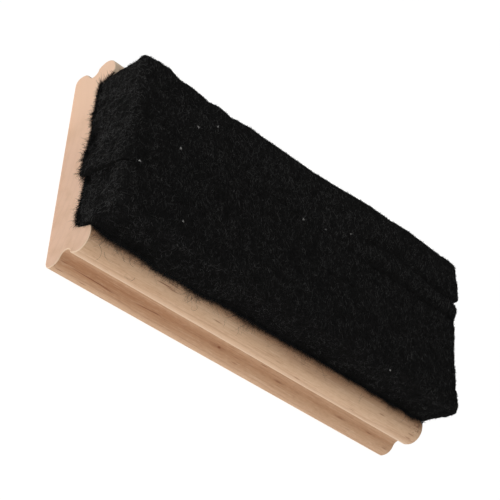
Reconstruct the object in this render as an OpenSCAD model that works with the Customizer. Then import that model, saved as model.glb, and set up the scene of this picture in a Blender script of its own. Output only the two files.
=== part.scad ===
// Chalkboard eraser: a beech handle with a channel along it, and felt strips glued on edge in the channel.
// The origin is the middle of the handle's flat back. The felt's wiping face looks up.

/* [Handle] */
// Length of the handle
handle_length = 100; // [70:1:160]
// Width over the two beads
handle_width = 48.2; // [46:0.2:60]
// Height from the flat back to the tops of the beads
handle_height = 13.3; // [12.5:0.1:18]
// Radius of the round bead along each side
bead_radius = 3.3; // [2.6:0.1:4]
// Width over the two lips at the back
lip_width = 48.8; // [46:0.2:60]
// Rounding of each lip's back edge
lip_radius = 1.6; // [0.4:0.1:1.9]
// Rounding of each lip into the cove above it
lip_round = 2.7; // [1.6:0.1:3.2]
// Radius of the finger cove between lip and bead
cove_radius = 1.75; // [1.4:0.05:2.4]
// Width between the two coves where they are deepest
waist_width = 44.2; // [41:0.2:46]
// Height of the coves' centres above the back
cove_height = 6.1; // [5.6:0.1:7.5]

/* [Channel] */
// Width of the channel's floor
channel_width = 36; // [32:0.2:38]
// Depth of the channel below the tops of the beads
channel_depth = 4.4; // [2.5:0.1:6]
// How far each channel wall leans out over its depth
wall_lean = 1.3; // [0:0.1:2]

/* [Felt] */
// Height of the felt from the glue to the wiping face
felt_height = 13.7; // [8:0.1:24]
// Thickness of one felt strip where it is free, at the wiping face
strip_thickness = 4.9; // [4.2:0.1:6]
// Bevel along the free edges of each strip
strip_bevel = 0.7; // [0:0.1:1.5]
// Gap between neighbouring strips
strip_gap = 0.2; // [0.1:0.05:0.5]
// Gap between the felt and the channel's walls
wall_gap = 0.2; // [0.1:0.05:0.6]

/* [Glue] */
// Thickness of the glue film
glue_thickness = 0.4; // [0.2:0.1:1]
// How far the glue film stops short of the handle's ends
glue_inset = 2; // [0:0.5:8]

/* [Hidden] */
$fn = 64;

// How far each strip, from the far side to the near side, passes the handle's left and right ends
left_reach = [0.2, 0.6, 0.3, 0.3, 1.0, 0.6, 0.2, 0.6];
right_reach = [0.0, 0.6, -0.3, -0.8, -0.8, -0.6, -0.5, 0.1];
strip_count = len(left_reach);

// Centres of the bead and of the cove on the +Y side
bead_y = handle_width / 2 - bead_radius;
bead_z = handle_height - bead_radius;
cove_y = waist_width / 2 + cove_radius;

// The cove's circle crosses the bead's, and the web behind them ends on the line through both crossings
centre_span = norm([cove_y - bead_y, cove_height - bead_z]);
along = (bead_radius ^ 2 - cove_radius ^ 2 + centre_span ^ 2) / (2 * centre_span);
web_y = bead_y + (cove_y - bead_y) * along / centre_span;

// The lip's nose is a circle that meets the cove's circle from below, with a hair of overlap, at touch_y
touch_overlap = 0.002;
lip_y = lip_width / 2 - lip_round;
touch_span = cove_radius + lip_round - touch_overlap;
lip_z = cove_height - sqrt(touch_span ^ 2 - (cove_y - lip_y) ^ 2);
touch_y = lip_y + (cove_y - lip_y) * lip_round / touch_span;

// Levels of the channel's floor, the felt's seat on the glue, the channel's mouth and the wiping face
floor_z = handle_height - channel_depth;
seat_z = floor_z + glue_thickness;
mouth_z = handle_height;
wipe_z = seat_z + felt_height;

// The felt fills the channel from wall to wall, and its strips are at their full thickness on top
floor_edge = channel_width / 2;
felt_edge = floor_edge - wall_gap;
mouth_edge = floor_edge + wall_lean - wall_gap;
wipe_edge = strip_count * strip_thickness / 2;

// Side of the joint after strip k at a level where the felt reaches from edge to -edge
function joint_y(k, edge) = edge * (1 - 2 * k / strip_count);

// The lip's round nose, above the rounding of the back edge
module lip_nose() {
    intersection() {
        translate([lip_y, lip_z])
            circle(r = lip_round);
        translate([0, lip_radius])
            square([lip_width / 2, cove_height]);
    }
}

// One half of the handle's section, on the +Y side, before the cove and the channel are cut
module half_blank() {
    square([lip_width / 2 - lip_radius, lip_z]);
    translate([0, lip_radius])
        square([lip_width / 2, lip_z - lip_radius]);
    translate([lip_width / 2 - lip_radius, lip_radius])
        circle(r = lip_radius);
    lip_nose();
    translate([0, lip_radius])
        square([touch_y, cove_height - lip_radius]);
    translate([0, cove_height])
        square([web_y, bead_z - cove_height]);
    square([bead_y, bead_z]);
    translate([bead_y, bead_z])
        circle(r = bead_radius);
}

module half_section() {
    difference() {
        half_blank();
        translate([cove_y, cove_height])
            circle(r = cove_radius);
    }
}

// Section of the channel, carried on past the mouth at the walls' own slope
module channel_section() {
    over = 1;
    spread = wall_lean * (1 + over / channel_depth);
    polygon([
        [-floor_edge, floor_z],
        [floor_edge, floor_z],
        [floor_edge + spread, mouth_z + over],
        [-floor_edge - spread, mouth_z + over]
    ]);
}

// Carries a section drawn in Y and Z along the handle, from x = start to x = end
module along_handle(start, end) {
    translate([start, 0, 0])
        rotate([90, 0, 90])
            linear_extrude(height = end - start)
                children();
}

module handle() {
    color("burlywood")
        along_handle(-handle_length / 2, handle_length / 2)
            difference() {
                union() {
                    half_section();
                    mirror([1, 0])
                        half_section();
                }
                channel_section();
            }
}

module glue_bed() {
    glue_length = handle_length - 2 * glue_inset;
    color("wheat")
        along_handle(-glue_length / 2, glue_length / 2)
            translate([-felt_edge, floor_z])
                square([2 * felt_edge, glue_thickness]);
}

// Section of strip k: it stands on the glue, bends at the channel's mouth and is bevelled on top
module strip_section(k) {
    half_gap = strip_gap / 2;
    far_top = joint_y(k - 1, wipe_edge) - half_gap;
    near_top = joint_y(k, wipe_edge) + half_gap;
    polygon([
        [joint_y(k - 1, felt_edge) - half_gap, seat_z],
        [joint_y(k - 1, mouth_edge) - half_gap, mouth_z],
        [far_top, wipe_z - strip_bevel],
        [far_top - strip_bevel, wipe_z],
        [near_top + strip_bevel, wipe_z],
        [near_top, wipe_z - strip_bevel],
        [joint_y(k, mouth_edge) + half_gap, mouth_z],
        [joint_y(k, felt_edge) + half_gap, seat_z]
    ]);
}

module felt_strip(k) {
    color([0.07, 0.07, 0.075])
        along_handle(-handle_length / 2 - left_reach[k - 1], handle_length / 2 + right_reach[k - 1])
            strip_section(k);
}

handle();
glue_bed();
for (k = [1 : strip_count]) {
    felt_strip(k);
}
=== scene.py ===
import itertools
import logging
import math
from dataclasses import dataclass, field
from enum import Enum

import bpy
import numpy as np
from mathutils import Matrix, Vector


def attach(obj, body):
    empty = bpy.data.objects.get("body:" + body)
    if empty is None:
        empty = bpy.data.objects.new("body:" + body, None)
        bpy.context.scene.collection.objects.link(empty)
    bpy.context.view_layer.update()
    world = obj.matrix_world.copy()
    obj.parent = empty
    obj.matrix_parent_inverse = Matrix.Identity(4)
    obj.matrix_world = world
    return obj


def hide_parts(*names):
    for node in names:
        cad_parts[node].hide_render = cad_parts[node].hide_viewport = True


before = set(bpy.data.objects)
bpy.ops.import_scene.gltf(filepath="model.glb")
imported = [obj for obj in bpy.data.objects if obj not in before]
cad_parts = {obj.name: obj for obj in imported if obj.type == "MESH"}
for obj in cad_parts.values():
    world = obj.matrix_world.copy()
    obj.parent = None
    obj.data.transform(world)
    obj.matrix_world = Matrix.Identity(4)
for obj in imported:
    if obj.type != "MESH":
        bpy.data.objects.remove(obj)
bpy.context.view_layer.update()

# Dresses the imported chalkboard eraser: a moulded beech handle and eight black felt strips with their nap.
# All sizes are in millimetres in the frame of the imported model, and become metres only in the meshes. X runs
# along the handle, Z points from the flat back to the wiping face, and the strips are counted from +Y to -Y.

LOG = logging.getLogger("eraser")
MM = 0.001
BODY = "root"
BAKE_MAP = "OFBake"
SHADE = "fibre_shade"
# Edge wear of the handle, with painted highlights and painted light
WEAR_AND_PAINTED_LIGHT = "edge_wear_and_painted_light"
# Painted shade on the wood: in the coves and on the near bead beside the felt
WOOD_PAINTED_SHADE = "cove_painted_shade"
# Painted light and shade of the felt: lighter on the far strips, darker on the free sides
FELT_PAINTED_LIGHT = "felt_painted_light"

WHITE = (1.0, 1.0, 1.0, 1.0)
ALONG_X = np.array([1.0, 0.0, 0.0])

# Lattice noise: cells before it repeats, how far a seed moves it, and seeds from one axis to the next
LATTICE_SIDE = 48
SEED_SHIFT = 0.37
AXIS_SEEDS = 11

Array = np.ndarray
Socket = bpy.types.NodeSocket
Material = bpy.types.Material
Colour = tuple[float, float, float]
Point = tuple[float, float, float]
Place = tuple[float, float]
Range = tuple[float, float]
Path = tuple[Place, ...]


class Slot(Enum):
    """Material slots of the record; no piece here is given one."""

    BEECH = "beech"
    FELT = "felt"


class Zone(Enum):
    """Faces of the felt that carry nap."""

    WIPING_FACE = "wiping_face"
    LEFT_END = "left_end"
    RIGHT_END = "right_end"
    NEAR_SIDE = "near_side"
    FAR_SIDE = "far_side"


def ramp(low: float, high: float, value: Array) -> Array:
    """Goes from 0 at low to 1 at high along a straight line, and is level outside."""
    return np.clip((value - low) / (high - low), 0.0, 1.0)


def smooth_step(low: float, high: float, value: Array) -> Array:
    """Goes from 0 at low to 1 at high as 3 t^2 - 2 t^3 of the fraction t, which is flat at both ends."""
    fraction = ramp(low, high, value)
    return fraction * fraction * (3.0 - 2.0 * fraction)


def unit(vectors: Array) -> Array:
    """Returns the vectors of the last axis at length 1."""
    return vectors / np.maximum(np.linalg.norm(vectors, axis=-1, keepdims=True), 1e-12)


def follow(path: Path, value: Array) -> Array:
    """Returns the second numbers of a path at the given first numbers, joined by straight lines."""
    return np.interp(value, *zip(*path))


def round_over(first: Array, second: Array, radius: float) -> tuple[Array, Array]:
    """Rounds a square edge between two faces.

    Args:
        first: Distances of points from one face, inwards.
        second: Their distances from the other face.
        radius: Radius of the rounding.

    Returns:
        The new distances. With a and b as the distances from the rounding's axis, over the radius, the square
        of a and b from 0 to 1 is mapped on a quarter disc by a sqrt(1 - b^2 / 2) and b sqrt(1 - a^2 / 2).
    """
    a = np.clip(1.0 - first / radius, 0.0, 1.0)
    b = np.clip(1.0 - second / radius, 0.0, 1.0)
    return (
        first + radius * a * (1.0 - np.sqrt(1.0 - b * b / 2)),
        second + radius * b * (1.0 - np.sqrt(1.0 - a * a / 2)),
    )


def lattice_noise(points: Array, cell: float, seed: int) -> Array:
    """Smooth noise from -1 to 1: random values on a cubic lattice, blended by smooth steps along x, y and z.

    Args:
        points: Places in millimetres, with x, y and z on the last axis.
        cell: Size of one lattice cell in millimetres.
        seed: Seed of the lattice's values.

    Returns:
        One value for each place.
    """
    table = np.random.default_rng(seed).uniform(-1.0, 1.0, (LATTICE_SIDE,) * 3)
    scaled = points / cell + SEED_SHIFT * seed
    base = np.floor(scaled).astype(int)
    blend = smooth_step(0.0, 1.0, scaled - base)
    total = np.zeros(points.shape[:-1])
    for corner in itertools.product((0, 1), repeat=3):
        index = (base + corner) % LATTICE_SIDE
        weight = np.prod(np.where(np.array(corner) == 1, blend, 1.0 - blend), axis=-1)
        total += weight * table[index[..., 0], index[..., 1], index[..., 2]]
    return total


def lattice_drift(points: Array, cell: float, seed: int) -> Array:
    """Three independent lattice noises, as a vector for each place."""
    return np.stack([lattice_noise(points, cell, seed + AXIS_SEEDS * axis) for axis in range(3)], axis=-1)


@dataclass(frozen=True)
class Ripple:
    """One layer of lattice noise."""

    height: float  # The most that it can reach
    cell: float  # Size of a lattice cell
    seed: int  # Seed of the lattice's values

    def at(self, points: Array, turn: int = 0) -> Array:
        """Returns the layer's value at each place, with the seed moved on by a turn."""
        return self.height * lattice_noise(points, self.cell, self.seed + turn)

    def drift(self, points: Array) -> Array:
        """Returns a vector of the layer at each place."""
        return self.height * lattice_drift(points, self.cell, self.seed)


@dataclass
class Surface:
    """A mesh in the making: points in millimetres and the faces that join them."""

    points: Array
    quads: Array
    triangles: Array
    caps: list[Array] = field(default_factory=list)
    normals: Array | None = None
    values: dict[str, Array] = field(default_factory=dict)
    bake_map: Array | None = None

    def mesh(self, name: str) -> bpy.types.Mesh:
        """Puts the arrays into a new mesh, in metres and with smooth faces.

        Args:
            name: Name of the mesh.

        Returns:
            The mesh.
        """
        corners = np.concatenate([self.quads.ravel(), self.triangles.ravel(), *self.caps]).astype(np.int32)
        sizes = np.concatenate([
            np.full(len(self.quads), 4), np.full(len(self.triangles), 3), [len(cap) for cap in self.caps]
        ]).astype(np.int32)
        starts = np.concatenate([[0], np.cumsum(sizes)[:-1]]).astype(np.int32)
        mesh = bpy.data.meshes.new(name)
        mesh.vertices.add(len(self.points))
        mesh.vertices.foreach_set("co", (self.points * MM).astype(np.float32).ravel())
        mesh.loops.add(len(corners))
        mesh.loops.foreach_set("vertex_index", corners)
        mesh.polygons.add(len(sizes))
        mesh.polygons.foreach_set("loop_start", starts)
        mesh.polygons.foreach_set("use_smooth", np.ones(len(sizes), dtype=bool))
        mesh.update(calc_edges=True)
        for key, value in self.values.items():
            layer = mesh.attributes.new(key, "FLOAT", "POINT")
            layer.data.foreach_set("value", value.astype(np.float32).ravel())
        if self.bake_map is not None:
            layer = mesh.uv_layers.new(name=BAKE_MAP)
            layer.data.foreach_set("uv", self.bake_map[corners].astype(np.float32).ravel())
        if self.normals is not None:
            mesh.normals_split_custom_set_from_vertices(self.normals.tolist())
        return mesh


def add_object(name: str, data: bpy.types.ID) -> bpy.types.Object:
    """Adds an object to the scene.

    Args:
        name: Name of the object.
        data: Its mesh, light or camera.

    Returns:
        The new object.
    """
    made = bpy.data.objects.new(name, data)
    bpy.context.scene.collection.objects.link(made)
    return made


def add_piece(
    name: str, surface: Surface, material: Material, replaces: tuple[str, ...] = ()
) -> bpy.types.Object:
    """Adds a piece to the scene, on the handle's body and in its material slot.

    Args:
        name: Name of the piece.
        surface: Its shape.
        material: Its material.
        replaces: CAD nodes that it stands for.

    Returns:
        The new object.
    """
    piece = add_object(name, surface.mesh(name))
    piece.data.materials.append(material)
    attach(piece, BODY)
    if replaces:
        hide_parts(*replaces)
    LOG.info("%s: %d points", name, len(surface.points))
    return piece


def ring_quads(rows: int, ring: int) -> Array:
    """Quads between neighbouring rings, facing outwards where each ring turns anticlockwise seen from +X.

    Args:
        rows: Number of rings, in the order of their X.
        ring: Points on each ring.

    Returns:
        Point numbers of the quads, four to a row.
    """
    row, spot = np.meshgrid(np.arange(rows - 1), np.arange(ring), indexing="ij")
    after = (spot + 1) % ring
    here, beyond = row * ring, (row + 1) * ring
    return np.stack([here + spot, here + after, beyond + after, beyond + spot], axis=-1).reshape(-1, 4)


class NodeBench:
    """Adds nodes to one material, or to the sky, and wires them."""

    def __init__(self, name: str, sky: bool = False) -> None:
        """Starts with nothing but an output.

        Args:
            name: Name of the material or the sky.
            sky: Whether it is the sky.
        """
        self.owner = (bpy.data.worlds if sky else bpy.data.materials).new(name)
        self.owner.use_nodes = True
        self.tree = self.owner.node_tree
        self.tree.nodes.clear()
        self.output = self.node("OutputWorld" if sky else "OutputMaterial", {})

    def wire(self, socket: Socket, value: object) -> None:
        """Links an output to a socket, or sets the socket's own value.

        Args:
            socket: The input to feed.
            value: An output socket, a number, or a sequence.
        """
        if isinstance(value, Socket):
            self.tree.links.new(value, socket)
        else:
            socket.default_value = value

    def node(self, kind: str, inputs: dict[object, object], **settings: object) -> bpy.types.Node:
        """Adds a node.

        Args:
            kind: Blender's name of the node type, without ShaderNode before it.
            inputs: Values or outputs for its inputs, by name or number.
            **settings: Properties of the node.

        Returns:
            The node.
        """
        made = self.tree.nodes.new(f"ShaderNode{kind}")
        for key, value in settings.items():
            setattr(made, key, value)
        for key, value in inputs.items():
            self.wire(made.inputs[key], value)
        return made

    def math(self, kind: str, first: object, second: object = 0.0) -> Socket:
        """Returns a Math node's output for one or two numbers."""
        return self.node("Math", {0: first, 1: second}, operation=kind).outputs[0]

    def length(self, vector: object) -> Socket:
        """Returns the length of a vector."""
        return self.node("VectorMath", {0: vector}, operation="LENGTH").outputs["Value"]

    def part(self, vector: object, axis: int) -> Socket:
        """Returns a vector's part along x, y or z, counted from 0."""
        return self.node("SeparateXYZ", {0: vector}).outputs[axis]

    def attribute(self, name: str) -> Socket:
        """Returns one of the values that a piece carries on its points."""
        return self.node("Attribute", {}, attribute_name=name).outputs["Fac"]

    def coords(self) -> Socket:
        """Returns the object coordinates in metres."""
        return self.node("TexCoord", {}).outputs["Object"]

    def span(self, value: object, low: float, high: float, start: float = 0.0, end: float = 1.0) -> Socket:
        """Returns value mapped smoothly from low and high to start and end."""
        inputs = {"Value": value, "From Min": low, "From Max": high, "To Min": start, "To Max": end}
        return self.node("MapRange", inputs, interpolation_type="SMOOTHSTEP").outputs[0]

    def mix(self, factor: object, first: object, second: object) -> Socket:
        """Mixes two colours, which are inputs 6 and 7 and output 2 of a Mix node.

        Args:
            factor: Share of the second colour.
            first: The first colour, or an output that gives it.
            second: The second colour, or an output that gives it.

        Returns:
            The mixed colour.
        """
        made = self.node("Mix", {}, data_type="RGBA")
        for key, value in zip((0, 6, 7), (factor, first, second)):
            self.wire(made.inputs[key], (*value, 1.0) if isinstance(value, tuple) else value)
        return made.outputs[2]

    def tint(self, tone: object, colour: object, value: object, span: Point) -> Socket:
        """Returns a tone with a colour brought in by a value, over a span of start, full and share."""
        start, full, share = span
        return self.mix(self.span(value, start, full, 0.0, share), tone, colour)

    def place(self, size: Point, shift: Point = (0.0, 0.0, 0.0)) -> Socket:
        """Object coordinates in units of a feature's size.

        Args:
            size: Millimetres to the unit along x, y and z.
            shift: Millimetres that the pattern is moved by.

        Returns:
            The scaled vector.
        """
        inputs = {
            "Vector": self.coords(),
            "Location": tuple(-s / u for s, u in zip(shift, size)),
            "Scale": tuple(1.0 / (u * MM) for u in size),
        }
        return self.node("Mapping", inputs).outputs[0]

    def bump(self, height: object, relief: Range) -> Socket:
        """Returns the normal over a height, with a relief of a strength and a depth in millimetres."""
        inputs = {"Strength": relief[0], "Distance": relief[1] * MM, "Height": height}
        return self.node("Bump", inputs).outputs[0]

    def coat(self, tone: object, rough: object, gloss: float, normal: Socket | None = None) -> Material:
        """Ends the material in a Principled shader.

        Args:
            tone: Its colour.
            rough: Its roughness.
            gloss: Its specular level.
            normal: Its bumped normal, where it has one.

        Returns:
            The material.
        """
        inputs = {"Base Color": tone, "Roughness": rough, "Specular IOR Level": gloss}
        if normal is not None:
            inputs["Normal"] = normal
        return self.finish(self.node("BsdfPrincipled", inputs))

    def finish(self, shader: bpy.types.Node) -> Material | bpy.types.World:
        """Wires the shader to the output and returns the material or the sky."""
        self.wire(self.output.inputs["Surface"], shader.outputs[0])
        return self.owner


@dataclass(frozen=True)
class Figure:
    """Noise on object coordinates, such as the figure of wood or the matting of felt."""

    size: Point  # Size of its features along x, y and z
    detail: float = 2.0  # Number of finer layers
    rough: float = 0.5  # How strong each layer is beside the one before
    shift: Point = (0.0, 0.0, 0.0)  # Millimetres that it is moved by
    twist: float = 0.0  # How far it is bent by itself

    def noise(self, bench: NodeBench) -> Socket:
        """Returns the noise, from 0 to 1, as an output on a material's bench."""
        return bench.node("TexNoise", {
            "Vector": bench.place(self.size, self.shift),
            "Scale": 1.0,
            "Detail": self.detail,
            "Roughness": self.rough,
            "Distortion": self.twist,
        }).outputs[0]


@dataclass(frozen=True)
class GrainMark:
    """A spindle of darker wood that shows where a face cuts it."""

    centre: Point  # Its middle in millimetres
    reach: Point  # Half its size along x, y and z
    depth: float  # How much of the dark tone it takes
    turn: Point = (0.0, 0.0, 0.0)  # Its turns about x, y and z in radians


@dataclass(frozen=True)
class BeechFinish:
    """Sanded beech: pale pinkish wood with faint rings, short flecks along the grain, paler worn edges,
    painted highlights on the beads' lower arrises, and painted shade in the coves and beside the felt.

    A span holds the value where a colour starts, the value where it is full, and its share there.
    """

    pale: Colour = (0.74, 0.49, 0.31)  # Colour of the palest long-grain wood
    warm: Colour = (0.64, 0.40, 0.24)  # Colour of the warmer bands in it
    end_grain: Colour = (0.83, 0.555, 0.40)  # Colour of the sawn ends
    fresh: Colour = (0.96, 0.65, 0.46)  # Their colour at the far side, where they are cleaner
    dark: Colour = (0.26, 0.085, 0.034)  # Colour of rings, flecks and pores
    worn: Colour = (0.95, 0.74, 0.54)  # Colour of rubbed edges, and of the painted highlights and painted light that share their attribute
    painted_shade_colour: Colour = (0.50, 0.25, 0.125)  # Colour of the painted shade in the coves and on the near bead beside the felt
    painted_shade_share: float = 0.75  # How much of that painted shade they take
    # Warmer and paler bands along the grain
    bands: Figure = Figure((70.0, 7.0, 7.0), 3.0, shift=(13.0, 4.0, 1.0))
    band_span: Point = (0.35, 0.68, 1.0)
    pith: Place = (14.0, -58.0)  # Y and Z of the rings' centre in millimetres
    ring_width: float = 2.1  # Distance between rings
    # What bends the rings, and how far, in ring widths
    ring_drift: Figure = Figure((42.0, 9.0, 9.0))
    ring_bend: float = 1.6
    # Share of a ring's width that its dark edge takes, and how steeply it darkens
    ring_edge: Range = (0.45, 1.0)
    ring_power: float = 3.0
    ring_share: Range = (0.20, 0.04)  # How dark the edge is on the long grain and on the sawn ends
    # Fine lines along the grain, and finer and shorter ones
    fibre: Figure = Figure((9.0, 0.22, 0.22), 3.0, 0.6)
    mottle: Figure = Figure((1.5, 0.30, 0.30), 3.0, 0.65, (2.0, 5.0, 4.0))
    fibre_spans: tuple[Point, Point] = ((0.52, 0.80, 0.34), (0.48, 0.25, 0.25))
    mottle_spans: tuple[Point, Point] = ((0.50, 0.74, 0.20), (0.48, 0.28, 0.16))
    fleck: Range = (6.0, 0.75)  # Size of a fleck's cell along and across the grain
    # Distances from a cell's middle where a fleck ends and where it is full
    fleck_edge: Range = (0.24, 0.07)
    # A cell's random number where flecks come in, and how dark they are
    fleck_chance: Range = (0.70, 0.95)
    fleck_share: float = 0.70
    # Single marks, and the share of their reach where they end and where they are full
    marks: tuple[GrainMark, ...] = (
        GrainMark((-40.5, -23.74, 3.97), (8.5, 0.35, 0.10), 1.0, (0.0, 0.0103, -0.0094)),
        GrainMark((-36.8, -23.87, 3.78), (2.4, 0.4, 0.10), 0.8, (0.0, 0.0103, -0.0094)),
        GrainMark((-26.8, -23.45, 4.25), (4.5, 0.4, 0.10), 0.75, (0.0, -0.020, 0.023)),
        GrainMark((-27.5, -21.94, 13.09), (2.8, 0.3, 0.09), 0.55, (0.0, 0.022, -0.058)),
        GrainMark((-50.0, -24.2, 2.9), (0.5, 0.35, 0.35), 0.9),
        GrainMark((-29.3, -22.6, 12.76), (3.2, 0.4, 0.10), 0.9),
        GrainMark((-27.4, -22.8, 12.62), (2.6, 0.4, 0.09), 0.8),
        GrainMark((-14.3, -23.4, 12.05), (2.0, 0.4, 0.15), 0.6),
        GrainMark((-24.3, -23.36, 4.33), (1.7, 0.5, 0.12), 0.65),
        GrainMark((-6.5, -23.05, 4.53), (0.7, 0.4, 0.28), 0.9),
        GrainMark((-6.8, -23.05, 4.53), (3.8, 0.9, 0.55), 0.3),
        GrainMark((11.6, -23.16, 4.46), (2.4, 0.6, 0.18), 0.6),
        GrainMark((31.8, -23.29, 4.37), (2.8, 0.6, 0.22), 0.5),
        GrainMark((36.8, -23.04, 12.42), (1.4, 0.4, 0.14), 0.6),
        GrainMark((47.3, -21.42, 13.24), (0.35, 0.2, 0.2), 0.8),
        GrainMark((48.8, -22.43, 12.87), (0.3, 0.2, 0.2), 0.8),
    )
    mark_edge: Range = (1.0, 0.15)
    # Middle and reach of the spot where the grain is frayed
    frayed: tuple[Point, Point] = ((48.0, -21.9, 13.0), (3.2, 2.2, 2.0))
    frayed_span: Point = (1.0, 0.4, 0.75)  # Over the share of that reach
    # Pores of that spot, and where their noise starts to show and is full
    specks: Figure = Figure((0.45, 0.28, 0.28), 1.0, shift=(1.0, 2.0, 3.0))
    speck_edge: Range = (0.56, 0.70)
    # How squarely a face cuts the grain to count as sawn, and how much that counts
    sawn: Range = (0.75, 0.97)
    sawn_share: float = 0.9
    # Warmer spots and pores of the sawn ends
    blotch: Figure = Figure((5.0, 5.0, 5.0), 3.0, shift=(3.0, 1.0, 7.0))
    pores: Figure = Figure((0.5, 0.16, 0.16), 2.0, 0.6)
    blotch_span: Point = (0.42, 0.72, 0.55)
    pore_span: Point = (0.55, 0.80, 0.28)
    fresh_span: Point = (0.0, 20.0, 1.0)  # Over Y
    # Strength and depth of the relief, and how much of it the fibres raise and the flecks sink
    relief: Range = (0.35, 0.06)
    relief_share: Range = (0.6, 0.8)
    # The fibres' least and most noise, and the roughness there
    rough: tuple[Range, Range] = ((0.2, 0.8), (0.50, 0.66))
    gloss: float = 0.3  # Specular level

    def rings(self, bench: NodeBench) -> Socket:
        """The year rings: the distance from a line along X through the pith, bent a little.

        Args:
            bench: The material's bench.

        Returns:
            How far each place lies in the dark edge of its ring.
        """
        far_off = 1e6
        spoke = bench.place((far_off, self.ring_width, self.ring_width), (0.0, *self.pith))
        bent = bench.math("MULTIPLY", self.ring_drift.noise(bench), self.ring_bend)
        radius = bench.math("ADD", bench.length(spoke), bent)
        return bench.span(bench.math("FRACT", radius), *self.ring_edge)

    def flecks(self, bench: NodeBench) -> Socket:
        """The flecks: short spindles in some cells of a lattice drawn out along X.

        Args:
            bench: The material's bench.

        Returns:
            How far each place lies in a fleck.
        """
        along, across = self.fleck
        place = bench.place((along, across, across))
        cells = bench.node("TexVoronoi", {"Vector": place, "Scale": 1.0})
        spindle = bench.span(cells.outputs["Distance"], *self.fleck_edge)
        chosen = bench.node("SeparateColor", {0: cells.outputs["Color"]}).outputs[0]
        return bench.math("MULTIPLY", spindle, bench.span(chosen, *self.fleck_chance))

    def marked(self, bench: NodeBench, tone: Socket) -> Socket:
        """Adds the single marks and the frayed spot, with fine dark pores, near an end.

        Args:
            bench: The material's bench.
            tone: The tone so far.

        Returns:
            The new tone.
        """
        for mark in self.marks:
            place = bench.node("Mapping", {
                "Vector": bench.coords(),
                "Location": tuple(c * MM for c in mark.centre),
                "Rotation": mark.turn,
                "Scale": tuple(r * MM for r in mark.reach),
            }, vector_type="TEXTURE").outputs[0]
            tone = bench.tint(tone, self.dark, bench.length(place), (*self.mark_edge, mark.depth))
        middle, reach = self.frayed
        start, full, share = self.frayed_span
        frayed = bench.span(bench.length(bench.place(reach, middle)), start, full, 0.0, share)
        specks = bench.span(self.specks.noise(bench), *self.speck_edge)
        return bench.mix(bench.math("MULTIPLY", specks, frayed), tone, self.dark)

    def sawn_tone(self, bench: NodeBench, ring: Socket) -> Socket:
        """The tone of the faces across the grain: pinker, with fine pores, and cleaner at the far side.

        Args:
            bench: The material's bench.
            ring: How far each place lies in the dark edge of its ring.

        Returns:
            The tone.
        """
        tone = bench.tint(self.end_grain, self.warm, self.blotch.noise(bench), self.blotch_span)
        tone = bench.tint(tone, self.dark, self.pores.noise(bench), self.pore_span)
        tone = bench.mix(bench.math("MULTIPLY", ring, self.ring_share[1]), tone, self.dark)
        y = bench.part(bench.place((1.0, 1.0, 1.0)), 1)
        return bench.tint(tone, self.fresh, y, self.fresh_span)

    def material(self) -> Material:
        """Builds the finish on object coordinates, the painted shade of the coves and beside the felt, and the
        handle's edge wear with its painted highlights and painted light.

        Returns:
            The material.
        """
        bench = NodeBench("beech_sanded")
        tone = bench.tint(self.pale, self.warm, self.bands.noise(bench), self.band_span)
        # Painted shade in the coves and on the near bead beside the felt
        tone = bench.mix(bench.math("MULTIPLY", bench.attribute(WOOD_PAINTED_SHADE), self.painted_shade_share), tone, self.painted_shade_colour)
        ring = self.rings(bench)
        edge = bench.math("POWER", ring, self.ring_power)
        tone = bench.mix(bench.math("MULTIPLY", edge, self.ring_share[0]), tone, self.dark)
        fibre, mottle = self.fibre.noise(bench), self.mottle.noise(bench)
        for lines, spans in ((fibre, self.fibre_spans), (mottle, self.mottle_spans)):
            for colour, span in zip((self.dark, self.worn), spans):
                tone = bench.tint(tone, colour, lines, span)
        fleck = self.flecks(bench)
        tone = bench.mix(bench.math("MULTIPLY", fleck, self.fleck_share), tone, self.dark)
        tone = self.marked(bench, tone)

        normal = bench.node("NewGeometry", {}).outputs["Normal"]
        sawn = bench.span(bench.math("ABSOLUTE", bench.part(normal, 0)), *self.sawn)
        end_tone = self.sawn_tone(bench, ring)
        tone = bench.mix(bench.math("MULTIPLY", sawn, self.sawn_share), tone, end_tone)
        # Paler on worn ends, with painted highlights on the beads' lower arrises and painted light on the far
        # bead's top at the left end
        tone = bench.mix(bench.attribute(WEAR_AND_PAINTED_LIGHT), tone, self.worn)

        raised, sunk = (bench.math("MULTIPLY", *pair) for pair in zip((fibre, fleck), self.relief_share))
        normal = bench.bump(bench.math("SUBTRACT", raised, sunk), self.relief)
        noise, rough = self.rough
        return bench.coat(tone, bench.span(fibre, *noise, *rough), self.gloss, normal)


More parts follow.
